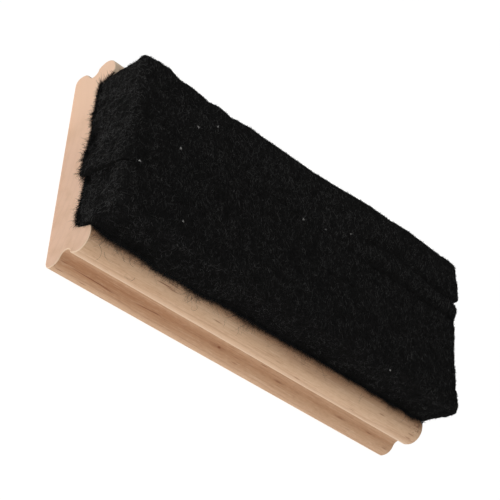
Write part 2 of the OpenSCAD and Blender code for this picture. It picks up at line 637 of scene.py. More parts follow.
@dataclass(frozen=True)
class FeltFinish:
    """Pressed black felt: matted fibres, a little lighter where they lie open, with painted light on the far
    strips and painted shade on the free sides.
    """

    shaded_gap: Colour = (0.0056, 0.0055, 0.0054)  # Colour between the fibres where painted shade darkens the free sides
    deep: Colour = (0.0100, 0.0098, 0.0096)  # Colour between the fibres elsewhere
    open: Colour = (0.0220, 0.0217, 0.0214)  # Colour of the fibres that catch light
    # The matting of the fibres, and where its noise starts to open and is fully open
    mat: Figure = Figure((0.9, 0.9, 0.9), 5.0, 0.68, twist=0.6)
    mat_edge: Range = (0.36, 0.70)
    # Strands that lie across the felt and along it
    crosswise: Figure = Figure((0.14, 1.3, 0.5), 2.0, 0.6, twist=0.4)
    lengthwise: Figure = Figure((1.2, 0.16, 0.5), 2.0, 0.6, (5.0, 3.0, 1.0), 0.4)
    # Where the strands' noise starts to show and is full, and their height
    strand_edge: Range = (0.42, 0.76)
    strand_height: float = 0.7
    # Strength and depth of the relief, roughness and specular level
    relief: Range = (0.9, 0.35)
    rough: float = 0.95
    gloss: float = 0.03

    def material(self) -> Material:
        """Builds the finish on object coordinates and the felt's painted light and shade.

        Returns:
            The material.
        """
        bench = NodeBench("felt_black")
        mat = self.mat.noise(bench)
        strand = bench.math("MAXIMUM", self.crosswise.noise(bench), self.lengthwise.noise(bench))
        cover = bench.math("MULTIPLY", bench.span(mat, *self.mat_edge), bench.span(strand, *self.strand_edge))
        # Painted light on the far strips and painted shade on the free sides, carried on the strips' points
        painted_light = bench.attribute(FELT_PAINTED_LIGHT)
        base = bench.mix(painted_light, self.shaded_gap, self.deep)
        tone = bench.mix(bench.math("MULTIPLY", cover, painted_light), base, self.open)
        height = bench.math("ADD", mat, bench.math("MULTIPLY", strand, self.strand_height))
        return bench.coat(tone, self.rough, self.gloss, bench.bump(height, self.relief))


@dataclass(frozen=True)
class FibreFinish:
    """Loose fibres, each with its own shade between two colours."""

    name: str  # Name of the material
    dark: Colour  # Colour of the darkest fibre
    light: Colour  # Colour of the lightest fibre
    # Roughness and specular level
    rough: float = 0.75
    gloss: float = 0.03

    def material(self) -> Material:
        """Returns the finish as a material on the fibres' shade."""
        bench = NodeBench(self.name)
        return bench.coat(bench.mix(bench.attribute(SHADE), self.dark, self.light), self.rough, self.gloss)


@dataclass(frozen=True)
class GlueFinish:
    """Dried wood glue: a yellowish film with a ripple from the brush."""

    film: Colour = (0.62, 0.52, 0.34)  # Colour of the film
    thick: Colour = (0.42, 0.31, 0.16)  # Colour where it is thicker
    # The ripple, and where its noise brings in the thicker film's colour
    ripple: Figure = Figure((12.0, 0.8, 2.0), 3.0, 0.55, twist=0.3)
    thick_span: Point = (0.3, 0.7, 1.0)
    # Strength and depth of the relief, roughness and specular level
    relief: Range = (0.5, 0.2)
    rough: float = 0.42
    gloss: float = 0.5

    def material(self) -> Material:
        """Builds the finish on object coordinates.

        Returns:
            The material.
        """
        bench = NodeBench("glue_film")
        ripple = self.ripple.noise(bench)
        tone = bench.tint(self.film, self.thick, ripple, self.thick_span)
        return bench.coat(tone, self.rough, self.gloss, bench.bump(ripple, self.relief))


@dataclass
class HandleMoulding:
    """The beech handle: one moulded section, carried along X and eased at every edge."""

    length: float = 100.0  # Length of the handle
    width: float = 48.2  # Width over the two beads
    height: float = 13.3  # Height to the tops of the beads
    bead_radius: float = 3.3  # Radius of the bead along each side
    lip_width: float = 48.8  # Width over the two lips at the back
    lip_radius: float = 1.6  # Rounding of the lips' back edges
    lip_round: float = 2.7  # Rounding of the lips into the coves
    cove_radius: float = 1.75  # Radius of the finger cove
    waist_width: float = 44.2  # Width between the coves
    cove_height: float = 6.1  # Height of the coves' centres
    channel_width: float = 36.0  # Width of the channel's floor
    channel_depth: float = 4.4  # Depth of the channel
    wall_lean: float = 1.3  # How far each channel wall leans out
    arris_ease: float = 0.10  # Rounding of the section's arrises
    # Points on each arc and line before they are eased, and distance between them after
    samples: int = 160
    fine_step: float = 0.02
    # Points to a millimetre of flat section, and what the root of its curvature adds
    density: Range = (0.7, 8.0)
    rows: tuple[int, int] = (39, 5)  # Rings between the ends, and round the edge of each end
    # Unevenness of the surface, and how much of X it takes, which draws it out along the handle
    waver: Ripple = Ripple(0.03, 4.0, 3)
    waver_stretch: float = 0.16
    arris_highlight_share: float = 0.85  # Painted highlight and wear on the beads' lower arrises
    arris_highlight_spread: Range = (1.2, 0.12)  # How far that painted highlight spreads up the bead and down into the cove
    # How far these arrises stand out, and how far up the bead and down the cove that spreads
    arris_proud: Point = (0.16, 0.9, 0.25)
    # Rounding and wear of the edges round the sawn ends
    end_ease: float = 0.22
    end_wear: float = 0.8
    # Z where the coves' painted shade starts and is full, and where it fades and ends
    cove_painted_shade: tuple[Range, Range] = ((1.4, 3.8), (4.9, 6.8))
    cove_depth: Range = (19.0, 22.0)  # Distances from the middle where that painted shade starts and is full
    # How much of it is lost towards the right end, and X where that starts and ends
    tone_fade: float = 0.82
    tone_run: Range = (-42.0, 46.0)
    # Distances round the near bead where painted shade beside the felt fades and ends, and its share
    felt_shade: Point = (1.0, 4.0, 1.0)
    # Painted light on the far bead's top at the left end, which lies in the felt's shade, and how far along it
    # fades
    far_bead_painted_light: Range = (0.95, 4.0)

    @property
    def bead(self) -> Array:
        """Y and Z of the bead's centre on the +Y side."""
        return np.array([self.width / 2 - self.bead_radius, self.height - self.bead_radius])

    @property
    def tip_turn(self) -> float:
        """Angle on the bead's circle where the channel's wall crosses it."""
        wall = unit(np.array([self.wall_lean, self.channel_depth]))
        offset = np.array([self.channel_width / 2, self.height - self.channel_depth]) - self.bead
        along = float(offset @ wall)
        travel = math.sqrt(along**2 - float(offset @ offset) + self.bead_radius**2) - along
        cross = offset + wall * travel
        return math.atan2(cross[1], cross[0])

    @property
    def cove(self) -> Array:
        """Y and Z of the cove's centre on the +Y side."""
        return np.array([self.waist_width / 2 + self.cove_radius, self.cove_height])

    @property
    def arris(self) -> Array:
        """Y and Z of the bead's lower arris, where the cove's circle crosses the bead's."""
        span = self.cove - self.bead
        distance = float(np.linalg.norm(span))
        along = (self.bead_radius**2 - self.cove_radius**2 + distance**2) / (2 * distance)
        aside = math.sqrt(self.bead_radius**2 - along**2)
        return self.bead + (span * along + np.array([-span[1], span[0]]) * aside) / distance

    def half_outline(self) -> Array:
        """The +Y half of the section, from the middle of the back to the middle of the channel's floor.

        Returns:
            Y and Z of its points: the back, the lip's back edge and round nose, the cove's arc from where it
            touches the nose to where its circle crosses the bead's, the bead's arc up to the channel, and the
            channel's wall and floor.
        """
        bead, side = self.bead, self.lip_width / 2
        cove, arris = self.cove, self.arris
        heel = np.array([side - self.lip_radius, self.lip_radius])
        rise = math.sqrt((self.cove_radius + self.lip_round) ** 2 - (cove[0] - side + self.lip_round) ** 2)
        nose = np.array([side - self.lip_round, self.cove_height - rise])
        touch = math.atan2(cove[1] - nose[1], cove[0] - nose[0])
        floor = np.array([self.channel_width / 2, self.height - self.channel_depth])

        def arc(centre: Array, radius: float, start: float, end: float) -> Array:
            """Returns points on an arc from one angle to another."""
            turn = np.linspace(start, end, self.samples)
            return centre + radius * np.stack([np.cos(turn), np.sin(turn)], axis=-1)

        def line(start: Array, end: Array) -> Array:
            """Returns points on a line from one place to another."""
            return start + (end - start) * np.linspace(0.0, 1.0, self.samples)[:, None]

        cove_high = math.atan2(arris[1] - cove[1], arris[0] - cove[0])
        bead_low = math.atan2(arris[1] - bead[1], arris[0] - bead[0])
        bead_arc = arc(bead, self.bead_radius, bead_low, self.tip_turn)
        return np.concatenate([
            line(np.array([0.0, 0.0]), np.array([heel[0], 0.0])),
            arc(heel, self.lip_radius, -math.pi / 2, 0.0),
            arc(nose, self.lip_round, 0.0, touch),
            arc(cove, self.cove_radius, touch + math.pi, cove_high),
            bead_arc,
            line(bead_arc[-1], floor),
            line(floor, np.array([0.0, floor[1]])),
        ])

    def outline(self) -> tuple[Array, Array, Array, Array, Array]:
        """The whole section as a smooth closed loop, with more points where it bends.

        The loop is sampled evenly, blurred along its length by a bell curve to ease its arrises, pushed out
        at the beads' lower arrises, and sampled again at a density that grows with the root of the curvature.

        Returns:
            Y and Z of its points, anticlockwise seen from +X, their outward normals, and from 0 to 1 the
            painted highlight and wear at the beads' lower arrises, the painted shade in a cove and the painted
            shade beside the felt.
        """
        half = self.half_outline()
        loop = np.concatenate([half, half[::-1] * np.array([-1.0, 1.0])])
        step = np.linalg.norm(np.roll(loop, -1, axis=0) - loop, axis=1)
        travel = np.concatenate([[0.0], np.cumsum(step)])
        total = travel[-1]
        count = int(total / self.fine_step)
        even = np.linspace(0.0, total, count, endpoint=False)
        closed = np.concatenate([loop, loop[:1]])
        fine = np.stack([np.interp(even, travel, closed[:, axis]) for axis in range(2)], axis=-1)
        turns = np.fft.fftfreq(count, d=total / count) * 2 * math.pi
        bell = np.exp(-0.5 * (turns * self.arris_ease) ** 2)[:, None]
        fine = np.real(np.fft.ifft(np.fft.fft(fine, axis=0) * bell, axis=0))
        offset = np.abs(fine) - self.bead
        around = np.arctan2(offset[:, 1], offset[:, 0])
        lowest = self.arris - self.bead
        climb = (around - math.atan2(lowest[1], lowest[0])) * self.bead_radius
        proud, above, under = self.arris_proud
        ridge = proud * np.exp(-((climb / np.where(climb > 0.0, above, under)) ** 2))
        fine = fine + unit(offset) * np.sign(fine) * ridge[:, None]
        slope = unit(np.roll(fine, -1, axis=0) - np.roll(fine, 1, axis=0))
        bend = np.cross(np.roll(slope, 1, axis=0), np.roll(slope, -1, axis=0)) / (2 * total / count)
        density = self.density[0] + self.density[1] * np.sqrt(np.abs(bend))
        reach = np.concatenate([[0.0], np.cumsum(density)]) * total / count
        wanted = np.linspace(0.0, reach[-1], int(reach[-1]), endpoint=False)
        spots = np.interp(wanted, reach, np.arange(count + 1))
        index = np.round(spots).astype(int) % count
        normals = np.stack([slope[:, 1], -slope[:, 0]], axis=-1)
        # Painted highlight and wear along the beads' lower arrises
        arris_highlight = self.arris_highlight_share * np.exp(-((climb / np.where(climb > 0.0, *self.arris_highlight_spread)) ** 2))
        low, high = self.cove_painted_shade
        # Painted shade in the coves
        cove = smooth_step(low[0], low[1], fine[:, 1]) * smooth_step(high[1], high[0], fine[:, 1])
        cove = cove * smooth_step(*self.cove_depth, np.abs(fine[:, 0]))
        # Painted shade on the near bead beside the felt
        fade, end, share = self.felt_shade
        down = (self.tip_turn - around) * self.bead_radius
        felt_shade = share * smooth_step(end, fade, down) * (fine[:, 0] < 0.0)
        return fine[index], normals[index], arris_highlight[index], cove[index], felt_shade[index]

    def surface(self) -> Surface:
        """The section carried along X.

        Full rings stand between the ends. At each end, rings turn in by a quarter round, inset by ease
        (1 - cos a) and set back by ease (1 - sin a), to the flat sawn face.

        Returns:
            The closed surface, with its exact normals, its edge wear with painted highlights and painted
            light, and its painted shade.
        """
        section, facing, arris_highlight, cove, felt_shade = self.outline()
        body_rows, end_rows = self.rows
        turn = np.linspace(0.0, math.pi / 2, end_rows)
        setback = self.end_ease * (1.0 - np.sin(turn))
        body = np.linspace(-1.0, 1.0, body_rows + 2)[1:-1] * (self.length / 2 - self.end_ease)
        x = np.concatenate([-self.length / 2 + setback[::-1], body, self.length / 2 - setback])[:, None]
        lean = np.concatenate([-turn[::-1], np.zeros(len(body)), turn])[:, None]
        level = np.cos(lean)
        rows, ring = len(x), len(section)
        flat = section[None] - facing[None] * (self.end_ease * (1.0 - level))[..., None]
        points = np.concatenate([np.broadcast_to(x[..., None], (rows, ring, 1)), flat], axis=-1)
        stretched = points * np.array([self.waver_stretch, 1.0, 1.0])
        points = points + self.waver.drift(stretched) * (1.0 - ALONG_X) * level[..., None]
        out_x = np.broadcast_to(np.sin(lean)[..., None], (rows, ring, 1))
        normals = np.concatenate([out_x, facing[None] * level[..., None]], axis=-1)

        # Wear round the sawn ends, with the arrises' painted highlight
        wear_and_light = np.maximum(arris_highlight[None] * level, self.end_wear * np.sin(np.abs(lean) * 2.0))
        # Painted light on the far bead's top near the left end
        share, run = self.far_bead_painted_light
        top = smooth_step(self.cove[1], self.height, section[:, 1]) * (section[:, 0] > 0.0)
        near_end = np.exp(-(((x + self.length / 2) / run) ** 2)) * level
        wear_and_light = np.maximum(wear_and_light, share * near_end * top)
        # Painted shade in the coves, less towards the right end, and beside the felt
        faded = cove[None] * (1.0 - self.tone_fade * smooth_step(*self.tone_run, x))
        painted_shade = np.maximum(faded, felt_shade[None]) * level
        return Surface(
            points=points.reshape(-1, 3),
            quads=ring_quads(rows, ring),
            triangles=np.empty((0, 3), int),
            caps=[np.arange(ring)[::-1], (rows - 1) * ring + np.arange(ring)],
            normals=normals.reshape(-1, 3),
            values={WEAR_AND_PAINTED_LIGHT: wear_and_light.ravel(), WOOD_PAINTED_SHADE: painted_shade.ravel()},
        )

    def on_bead(self, x: Array, travel: Array, lift: Array, side: int) -> Array:
        """Places on the outside of a bead.

        Args:
            x: Places along the handle.
            travel: Distances round the bead from the channel's mouth, outwards and down.
            lift: Heights over the wood.
            side: -1 for the near bead and 1 for the far one.

        Returns:
            Points at the angle travel / radius from the bead's tip, on a radius larger by the lift.
        """
        turn = self.tip_turn - travel / self.bead_radius
        y = self.bead[0] + (self.bead_radius + lift) * np.cos(turn)
        z = self.bead[1] + (self.bead_radius + lift) * np.sin(turn)
        return np.stack([x, side * y, z], axis=-1)

    def build(self, material: Material) -> bpy.types.Object:
        """Adds the handle in place of its solid."""
        return add_piece("handle_moulding", self.surface(), material, ("handle",))


@dataclass(frozen=True)
class Crease:
    """A soft valley, or with a negative depth a ridge, along the wiping face where two strips part."""

    path: Path  # X and Y of its line
    depth: float  # Its depth in the middle
    half_width: float  # Half its width
    fade: float = 3.0  # How far before and after each end of its line it comes in and goes out

    def drop(self, x: Array, y: Array) -> Array:
        """A bell curve across the line, faded at each end of it.

        Args:
            x: Places along the felt.
            y: Places across it.

        Returns:
            The drop at each place.
        """
        first, last = self.path[0][0], self.path[-1][0]
        comes = smooth_step(first - self.fade, first + self.fade, x)
        goes = smooth_step(last + self.fade, last - self.fade, x)
        return self.depth * comes * goes * np.exp(-(((y - follow(self.path, x)) / self.half_width) ** 2))


@dataclass(frozen=True)
class FeltSizes:
    """Sizes that the eight strips share."""

    seat: float = 9.3  # Z of the felt's underside
    mouth: float = 13.3  # Z of the channel's mouth
    wipe: float = 23.0  # Z of the wiping face
    edge: Point = (17.8, 19.1, 19.6)  # Half the felt's width at the seat, the mouth and the wiping face
    gap: float = 0.03  # Gap between neighbouring strips
    half_length: float = 50.0  # Half the length of the handle
    # How far each strip passes the left end at its seat, on its far and near face
    left_reach: Path = (
        (0.0, 0.0), (0.0, 0.1), (0.2, 0.1), (0.0, 0.6), (0.7, 1.6), (-0.1, 0.0), (0.0, 0.3), (0.4, 0.4)
    )
    # How much farther each strip passes it at the wiping face, on its far and near face
    left_flare: Path = (
        (-0.1, -0.1), (-0.1, -0.1), (0.0, 0.0), (0.0, 0.1), (0.2, 0.4), (0.9, 0.9), (0.9, 0.9), (0.9, 0.9)
    )
    # How far each strip passes the right end at the wiping face, on its far and near face
    right_reach: Path = (
        (0.2, 0.9), (1.1, 2.2), (0.4, 1.1), (0.2, -0.1), (0.1, 0.5), (0.5, 0.6), (0.4, 0.2), (0.9, 2.0)
    )
    # How much less each strip passes it at the seat
    right_lean: tuple[float, ...] = (0.9, 0.9, 0.9, 0.9, 0.9, 0.9, 0.9, 2.2)
    # By joint, X and the way that the joint strays to +Y at the wiping face
    wander: dict[int, Path] = field(default_factory=lambda: {
        2: ((10.0, 0.0), (21.0, 0.6), (28.0, 1.4), (36.0, 0.9), (42.0, 0.5), (50.0, 1.0)),
        3: ((-48.0, -0.4), (-33.0, -1.2), (-10.0, 0.1), (20.0, -0.4), (46.0, -0.5)),
    })
    fold: int = 5  # Joint that is bent over at the left end
    fold_run: float = 8.0  # How far along the felt the fold goes
    # Z and the way that it is bent to +Y there
    fold_line: Path = ((9.3, -1.55), (13.3, -1.7), (19.3, -2.9), (23.0, -3.2))
    # X and how far the near side bulges over the bead there
    near_line: Path = (
        (-50.0, -0.15), (-47.0, 0.68), (-44.0, 0.83), (-40.0, 0.73), (-36.0, 0.88), (-33.0, 1.73),
        (-27.0, 1.33), (-20.0, 1.33), (-16.0, 0.58), (-12.0, 0.53), (-9.0, 0.58), (-5.0, 0.43), (-2.0, 0.53),
        (4.0, 0.53), (9.0, -0.17), (13.0, -0.17), (20.0, 0.08), (25.0, -0.17), (28.0, -0.35), (32.0, 0.3),
        (35.0, -0.35), (38.5, 0.55), (42.0, -0.35), (45.5, 0.65), (48.0, -0.35), (50.0, -0.35)
    )
    far_painted_light: float = 0.55  # How much lighter the far strips are painted: painted light
    painted_light_run: Range = (-4.0, 10.0)  # Y where that painted light starts to grow and where it is most

    @property
    def count(self) -> int:
        """Number of strips."""
        return len(self.left_reach)

    def painted_light(self, y: Array) -> Array:
        """Returns the painted light on the felt over Y: lighter on the far strips."""
        return 1.0 + self.far_painted_light * smooth_step(*self.painted_light_run, y)

    def joint(self, number: int, z: Array, x: Array) -> Array:
        """Y of the joint after a strip.

        Args:
            number: Number of the strip on the joint's far side, or 0 for the far side of the felt.
            z: Heights.
            x: Places along the felt.

        Returns:
            Equal shares of the felt's width at that height, plus the joint's wander and fold.
        """
        edge = np.interp(z, (self.seat, self.mouth, self.wipe), self.edge)
        y = edge * (1.0 - 2.0 * number / self.count)
        if number in self.wander:
            y = y + follow(self.wander[number], x) * smooth_step(self.mouth, self.wipe, z)
        if number == self.fold:
            y = y + follow(self.fold_line, z) * smooth_step(self.fold_run, 0.0, x + self.half_length)
        return y


@dataclass
class FeltStrip:
    """One strip of felt on edge: a box of felt, rounded where it is free, with lumpy faces."""

    number: int  # Its number, from 1 on the far side
    sizes: FeltSizes  # Sizes that the strips share
    creases: tuple[Crease, ...]  # Valleys and ridges of the wiping face
    # Its ring points, and how far each one shows, once it is built
    points: Array = field(init=False)
    shows: Array = field(init=False)
    edge: float = 0.06  # Rounding of the edges where strips are pressed together
    # Y and the rounding of the wiping face into the left end there
    end_round: Path = ((-19.0, 3.0), (-6.0, 2.4), (4.0, 1.4), (14.0, 1.5), (19.0, 1.8))
    # Y and the rounding of the wiping face into the right end there
    right_round: Path = ((-19.0, 2.2), (-14.0, 1.3), (19.0, 1.3))
    # X and how far the near side leans out at the wiping face there
    near_flare: Path = ((43.0, 0.0), (49.0, 0.5))
    side_round: float = 1.5  # Rounding of the wiping face into the two sides
    # Z and the rounding of the upright corners there
    corner_round: Path = ((9.3, 0.3), (14.0, 0.6), (23.0, 1.5))
    far_right_round: float = 1.5  # Rounding of the upright corner at the far right, as a multiple of that
    # Z and the rounding there of the upright corner at the near right
    near_right_round: Path = ((9.3, 0.2), (19.0, 0.5), (21.0, 1.2), (23.0, 3.0))
    # Z and the rounding there of the two strips that part at the left end
    fold_round: Path = ((9.3, 0.15), (14.0, 0.5), (23.0, 1.2))
    # X and the way out of the felt's far top edge there
    far_line: Path = (
        (-49.0, 0.1), (-46.0, 0.35), (-43.5, 0.15), (-40.0, -0.37), (-36.0, -0.3), (-31.5, -0.65),
        (-29.5, -0.55), (-24.5, -0.55), (-20.0, -0.15), (2.0, -0.15), (10.0, 0.2), (16.0, 0.5), (23.0, 0.55),
        (32.0, 0.75), (45.0, 0.6)
    )
    far_lift: float = 0.9  # How far that edge also rises, as a share of its way out
    # Distances from the middle where the far edge's way out moves the felt aside and lifts it, and where
    # the near side's bulge and flare start
    far_from: Range = (14.0, 9.0)
    near_from: float = 14.7
    # Heights over the mouth where the bulge comes in, and where it goes out
    bulge_foot: Range = (-0.1, 0.4)
    bulge_top: Range = (8.7, 1.5)
    crease_reach: float = 7.0  # How far under the wiping face a crease is felt
    lean_power: float = 1.4  # How steeply the right end leans out
    # Unevenness of the end faces, and of all faces that show
    end_waver: tuple[Ripple, ...] = (Ripple(0.20, 3.1, 31), Ripple(0.12, 1.3, 41))
    lumps: tuple[Ripple, ...] = (Ripple(0.30, 7.0, 51), Ripple(0.15, 2.3, 61), Ripple(0.09, 0.95, 71))
    # Heights over the wiping face, over the mouth on a free side and over the seat on an end, where the
    # felt starts to show and where it shows fully
    top_shows: Range = (-1.6, -0.05)
    side_shows: Range = (0.2, 1.6)
    end_shows: Range = (-0.2, 0.6)
    # Sideways part of the normal from which on a point belongs to a side, and up to which it belongs to the
    # wiping face
    side_turn: float = 0.5
    top_turn: float = 0.8
    side_painted_shade: float = 0.75  # How much painted shade darkens a free side
    # Points of a ring on each side, on the wiping face, at each of its edges and on the seat
    ring_points: tuple[int, int, int, int] = (24, 11, 2, 5)
    # Rings from end to end, and on each end face
    rows: int = 261
    end_rings: int = 12
    crowding: float = 0.6  # How much closer together the rings stand near the ends, from 0 to 1

    def end_place(self, side: int, y: Array, z: Array) -> Array:
        """X of an end face over Y and Z.

        Args:
            side: -1 for the left end and 1 for the right end.
            y: Places across the felt.
            z: Heights.

        Returns:
            The handle's end plus the strip's reach, which changes evenly from its far to its near face and
            with its height, and a waver.
        """
        sizes = self.sizes
        rise = ramp(sizes.seat, sizes.wipe, z)
        here = np.full_like(y, side * sizes.half_length)
        far, near = sizes.joint(self.number - 1, z, here), sizes.joint(self.number, z, here)
        share = ramp(far, near, y)
        reach = (sizes.left_reach if side < 0 else sizes.right_reach)[self.number - 1]
        passes = reach[0] + (reach[1] - reach[0]) * share
        if side < 0:
            flare = sizes.left_flare[self.number - 1]
            passes = passes + (flare[0] + (flare[1] - flare[0]) * share) * rise
        else:
            passes = passes - sizes.right_lean[self.number - 1] * (1.0 - rise) ** self.lean_power
        place = np.stack([y * 0.0, y, z], axis=-1)
        waver = sum(ripple.at(place, side) for ripple in self.end_waver)
        return side * (sizes.half_length + passes) + waver

    def grid(self) -> tuple[Array, Array, Array, Array, Array]:
        """The box of felt before its free edges are rounded.

        A ring goes up the far side, across the wiping face, down the near side and back along the seat. Rings
        are carried from end to end, closer together near the ends, and then shrink to the middle of each end.

        Returns:
            Points as rows by rings by xyz, X of the left and right end face at each, 1 on the end faces, and
            the sideways part of each ring point's outward normal.
        """
        sides, tops, bends, seats = self.ring_points
        sizes, zero, one = self.sizes, np.zeros, np.ones
        rise = np.linspace(0.0, 1.0, sides)
        turn = np.linspace(0.0, math.pi / 2, bends + 1)[1:]
        bow, climb, lean = 1.0 - np.cos(turn), np.sin(turn), np.cos(turn)
        level, back = np.linspace(0.0, 1.0, tops + 2)[1:-1], np.linspace(1.0, 0.0, seats + 2)[1:-1]
        across = np.concatenate([zero(sides + bends), level, one(bends + sides), back])
        upward = np.concatenate([rise, one(2 * bends + tops), rise[::-1], zero(seats)])
        inward = np.concatenate([zero(sides), bow, one(tops), bow[::-1], zero(sides + seats)])
        above = np.concatenate([zero(sides), climb, one(tops), climb[::-1], zero(sides + seats)])
        out_y = np.concatenate([one(sides), lean, zero(tops), -lean[::-1], -one(sides), zero(seats)])

        even = np.linspace(0.0, 1.0, self.rows)
        body = even - self.crowding * np.sin(2 * math.pi * even) / (2 * math.pi)
        shrink = np.linspace(1.0, 0.0, self.end_rings + 2)[1:-1]
        share = np.concatenate([zero(len(shrink)), body, one(len(shrink))])[:, None]
        scale = np.concatenate([shrink[::-1], one(len(body)), shrink])[:, None]
        on_end = np.concatenate([one(len(shrink) + 1), zero(len(body) - 2), one(len(shrink) + 1)])[:, None]

        sheet = zero((len(share), len(across)))
        tall = sheet + sizes.seat + upward * (sizes.wipe - sizes.seat - self.edge) + above * self.edge
        z = tall.mean(axis=1, keepdims=True) * (1.0 - scale) + tall * scale
        x = (2.0 * share - 1.0) * sizes.half_length + sheet
        # The second pass takes the joints at the places along the felt that the first one gives.
        for _ in range(2):
            far = sizes.joint(self.number - 1, tall, x) - sizes.gap / 2
            near = sizes.joint(self.number, tall, x) + sizes.gap / 2
            y = far + (near - far) * across - inward * self.edge * (1.0 - 2.0 * across)
            y = y.mean(axis=1, keepdims=True) * (1.0 - scale) + y * scale
            left, right = self.end_place(-1, y, z), self.end_place(1, y, z)
            x = left + (right - left) * share
        return np.stack([x, y, z], axis=-1), left, right, on_end + sheet, out_y + sheet

    def rounded(self, points: Array, left: Array, right: Array) -> Array:
        """Rounds the felt's free edges: the wiping face into the ends and sides, then the upright corners.

        Args:
            points: The box of felt.
            left: X of its left end at each point.
            right: X of its right end at each point.

        Returns:
            The moved points.
        """
        x, y, z = (points[..., axis] for axis in range(3))
        edge = self.sizes.joint(0, z, x)
        from_end, to_end = x - left, right - x
        below, from_far, from_near = self.sizes.wipe - z, edge - y, y + edge
        from_end, below = round_over(from_end, below, follow(self.end_round, y))
        to_end, below = round_over(to_end, below, follow(self.right_round, y))
        from_far, below = round_over(from_far, below, self.side_round)
        from_near, below = round_over(from_near, below, self.side_round)
        corner = follow(self.corner_round, z)
        from_end, from_far = round_over(from_end, from_far, corner)
        to_end, from_far = round_over(to_end, from_far, self.far_right_round * corner)
        from_end, from_near = round_over(from_end, from_near, corner)
        to_end, from_near = round_over(to_end, from_near, follow(self.near_right_round, z))
        here = np.full_like(x, -self.sizes.half_length)
        for number, way in ((self.sizes.fold, 1.0), (self.sizes.fold + 1, -1.0)):
            if self.number == number:
                inside = np.maximum(way * (y - self.sizes.joint(self.sizes.fold, z, here)), 0.0)
                from_end, after = round_over(from_end, inside, follow(self.fold_round, z))
                y = y + way * (after - inside)
        x = x + (from_end - (x - left)) - (to_end - (right - x))
        y = y - (from_far - (edge - y)) + (from_near - (y + edge))
        return np.stack([x, y, self.sizes.wipe - below], axis=-1)

    def valley(self, x: Array, y: Array) -> Array:
        """Returns how deep all the creases together press the wiping face in."""
        return sum(crease.drop(x, y) for crease in self.creases)

    def surface(self) -> tuple[Surface, Array, Array]:
        """The strip's closed surface.

        It is the rounded box, bent along its far edge, bulged over the near bead, pressed in at the creases,
        and moved by noise in three sizes on the faces that show.

        Returns:
            The surface, its ring points as rows by rings by xyz, and how far each one shows, from 0 to 1.
        """
        sizes = self.sizes
        box, left, right, on_end, out_y = self.grid()
        height = box[..., 2]
        points = self.rounded(box, left, right)
        x, y = points[..., 0], points[..., 1]
        over_mouth, over_wipe = height - sizes.mouth, height - sizes.wipe
        rise = smooth_step(sizes.mouth, sizes.wipe, height)
        bend = follow(self.far_line, x) * rise
        bulge = smooth_step(*self.bulge_foot, over_mouth) * smooth_step(*self.bulge_top, over_mouth)
        valley = self.valley(x, y) * smooth_step(-self.crease_reach, 0.0, over_wipe)
        outward = follow(sizes.near_line, x) * bulge + follow(self.near_flare, x) * rise
        far_aside, far_up = (ramp(start, sizes.edge[2], y) for start in self.far_from)
        aside = bend * far_aside - outward * ramp(self.near_from, sizes.edge[1], -y)
        lift = self.far_lift * bend * far_up - valley
        points = points + np.stack([x * 0.0, aside, lift], axis=-1)

        free_far, free_near = float(self.number == 1), float(self.number == sizes.count)
        top = smooth_step(*self.top_shows, over_wipe)
        side = np.where(out_y > 0.0, free_far, free_near) * (np.abs(out_y) > self.side_turn)
        side = side * smooth_step(*self.side_shows, over_mouth)
        end_face = on_end * smooth_step(*self.end_shows, height - sizes.seat)
        shows = np.maximum(np.maximum(side, end_face), np.where(np.abs(out_y) < self.top_turn, top, 0.0))
        lumps = sum(ripple.drift(points) for ripple in self.lumps)
        points = points + lumps * np.stack([end_face, side, top], axis=-1)

        rows, ring = points.shape[:2]
        poles = points[[0, -1]].mean(axis=1)
        spot = np.arange(ring)
        after, last, pole = (spot + 1) % ring, (rows - 1) * ring, np.full(ring, rows * ring)
        fans = (after, spot, pole), (last + spot, last + after, pole + 1)
        # Painted light on the far strips, and painted shade on the free sides below the wiping face
        painted_light = sizes.painted_light(points[..., 1]) * (1.0 - self.side_painted_shade * side * (1.0 - top))
        whole = Surface(
            points=np.concatenate([points.reshape(-1, 3), poles]),
            quads=ring_quads(rows, ring),
            triangles=np.concatenate([np.stack(fan, axis=-1) for fan in fans]),
            values={FELT_PAINTED_LIGHT: np.concatenate([painted_light.ravel(), np.ones(len(poles))])},
        )
        return whole, points, shows

    def roots(self, count: int, rng: np.random.Generator) -> tuple[Array, Array]:
        """Random places on the faces that show.

        Args:
            count: How many places to pick.
            rng: Source of random numbers.

        Returns:
            The places and the outward normals there. A quad is picked by its area times how far it shows.
        """
        points = self.points
        ahead = np.roll(points, -1, axis=1)
        corner, along, up, both = points[:-1], points[1:], ahead[:-1], ahead[1:]
        normal = np.cross(both - corner, along - up)
        weight = np.linalg.norm(normal, axis=-1) * self.shows[:-1]
        picked = rng.choice(weight.size, count, p=weight.ravel() / weight.sum())
        s, t = rng.random((2, count, 1))
        flat = [a.reshape(-1, 3)[picked] for a in (corner, along, up, both)]
        place = (flat[0] * (1 - s) + flat[1] * s) * (1 - t) + (flat[2] * (1 - s) + flat[3] * s) * t
        return place, unit(normal.reshape(-1, 3)[picked])

    def build(self, material: Material) -> None:
        """Adds the strip in place of its solid.

        Args:
            material: The felt's material.
        """
        whole, self.points, self.shows = self.surface()
        node = f"felt_strip_{self.number}"
        piece = add_piece(f"felt_pad_{self.number}", whole, material, (node,))


@dataclass(frozen=True)
class Lie:
    """How the nap lies on one face."""

    heading: Point  # The way that most fibres point
    spread: float  # How far they stray from it, in radians
    lift: Range  # Least and most angle off the face, in radians
    length: Range  # Least and most length
    light: Range  # Shade of the darkest fibre and what the lightest adds to it, set apart for each face as painted light and shade
    both_ways: bool = False  # Whether half of them point the other way


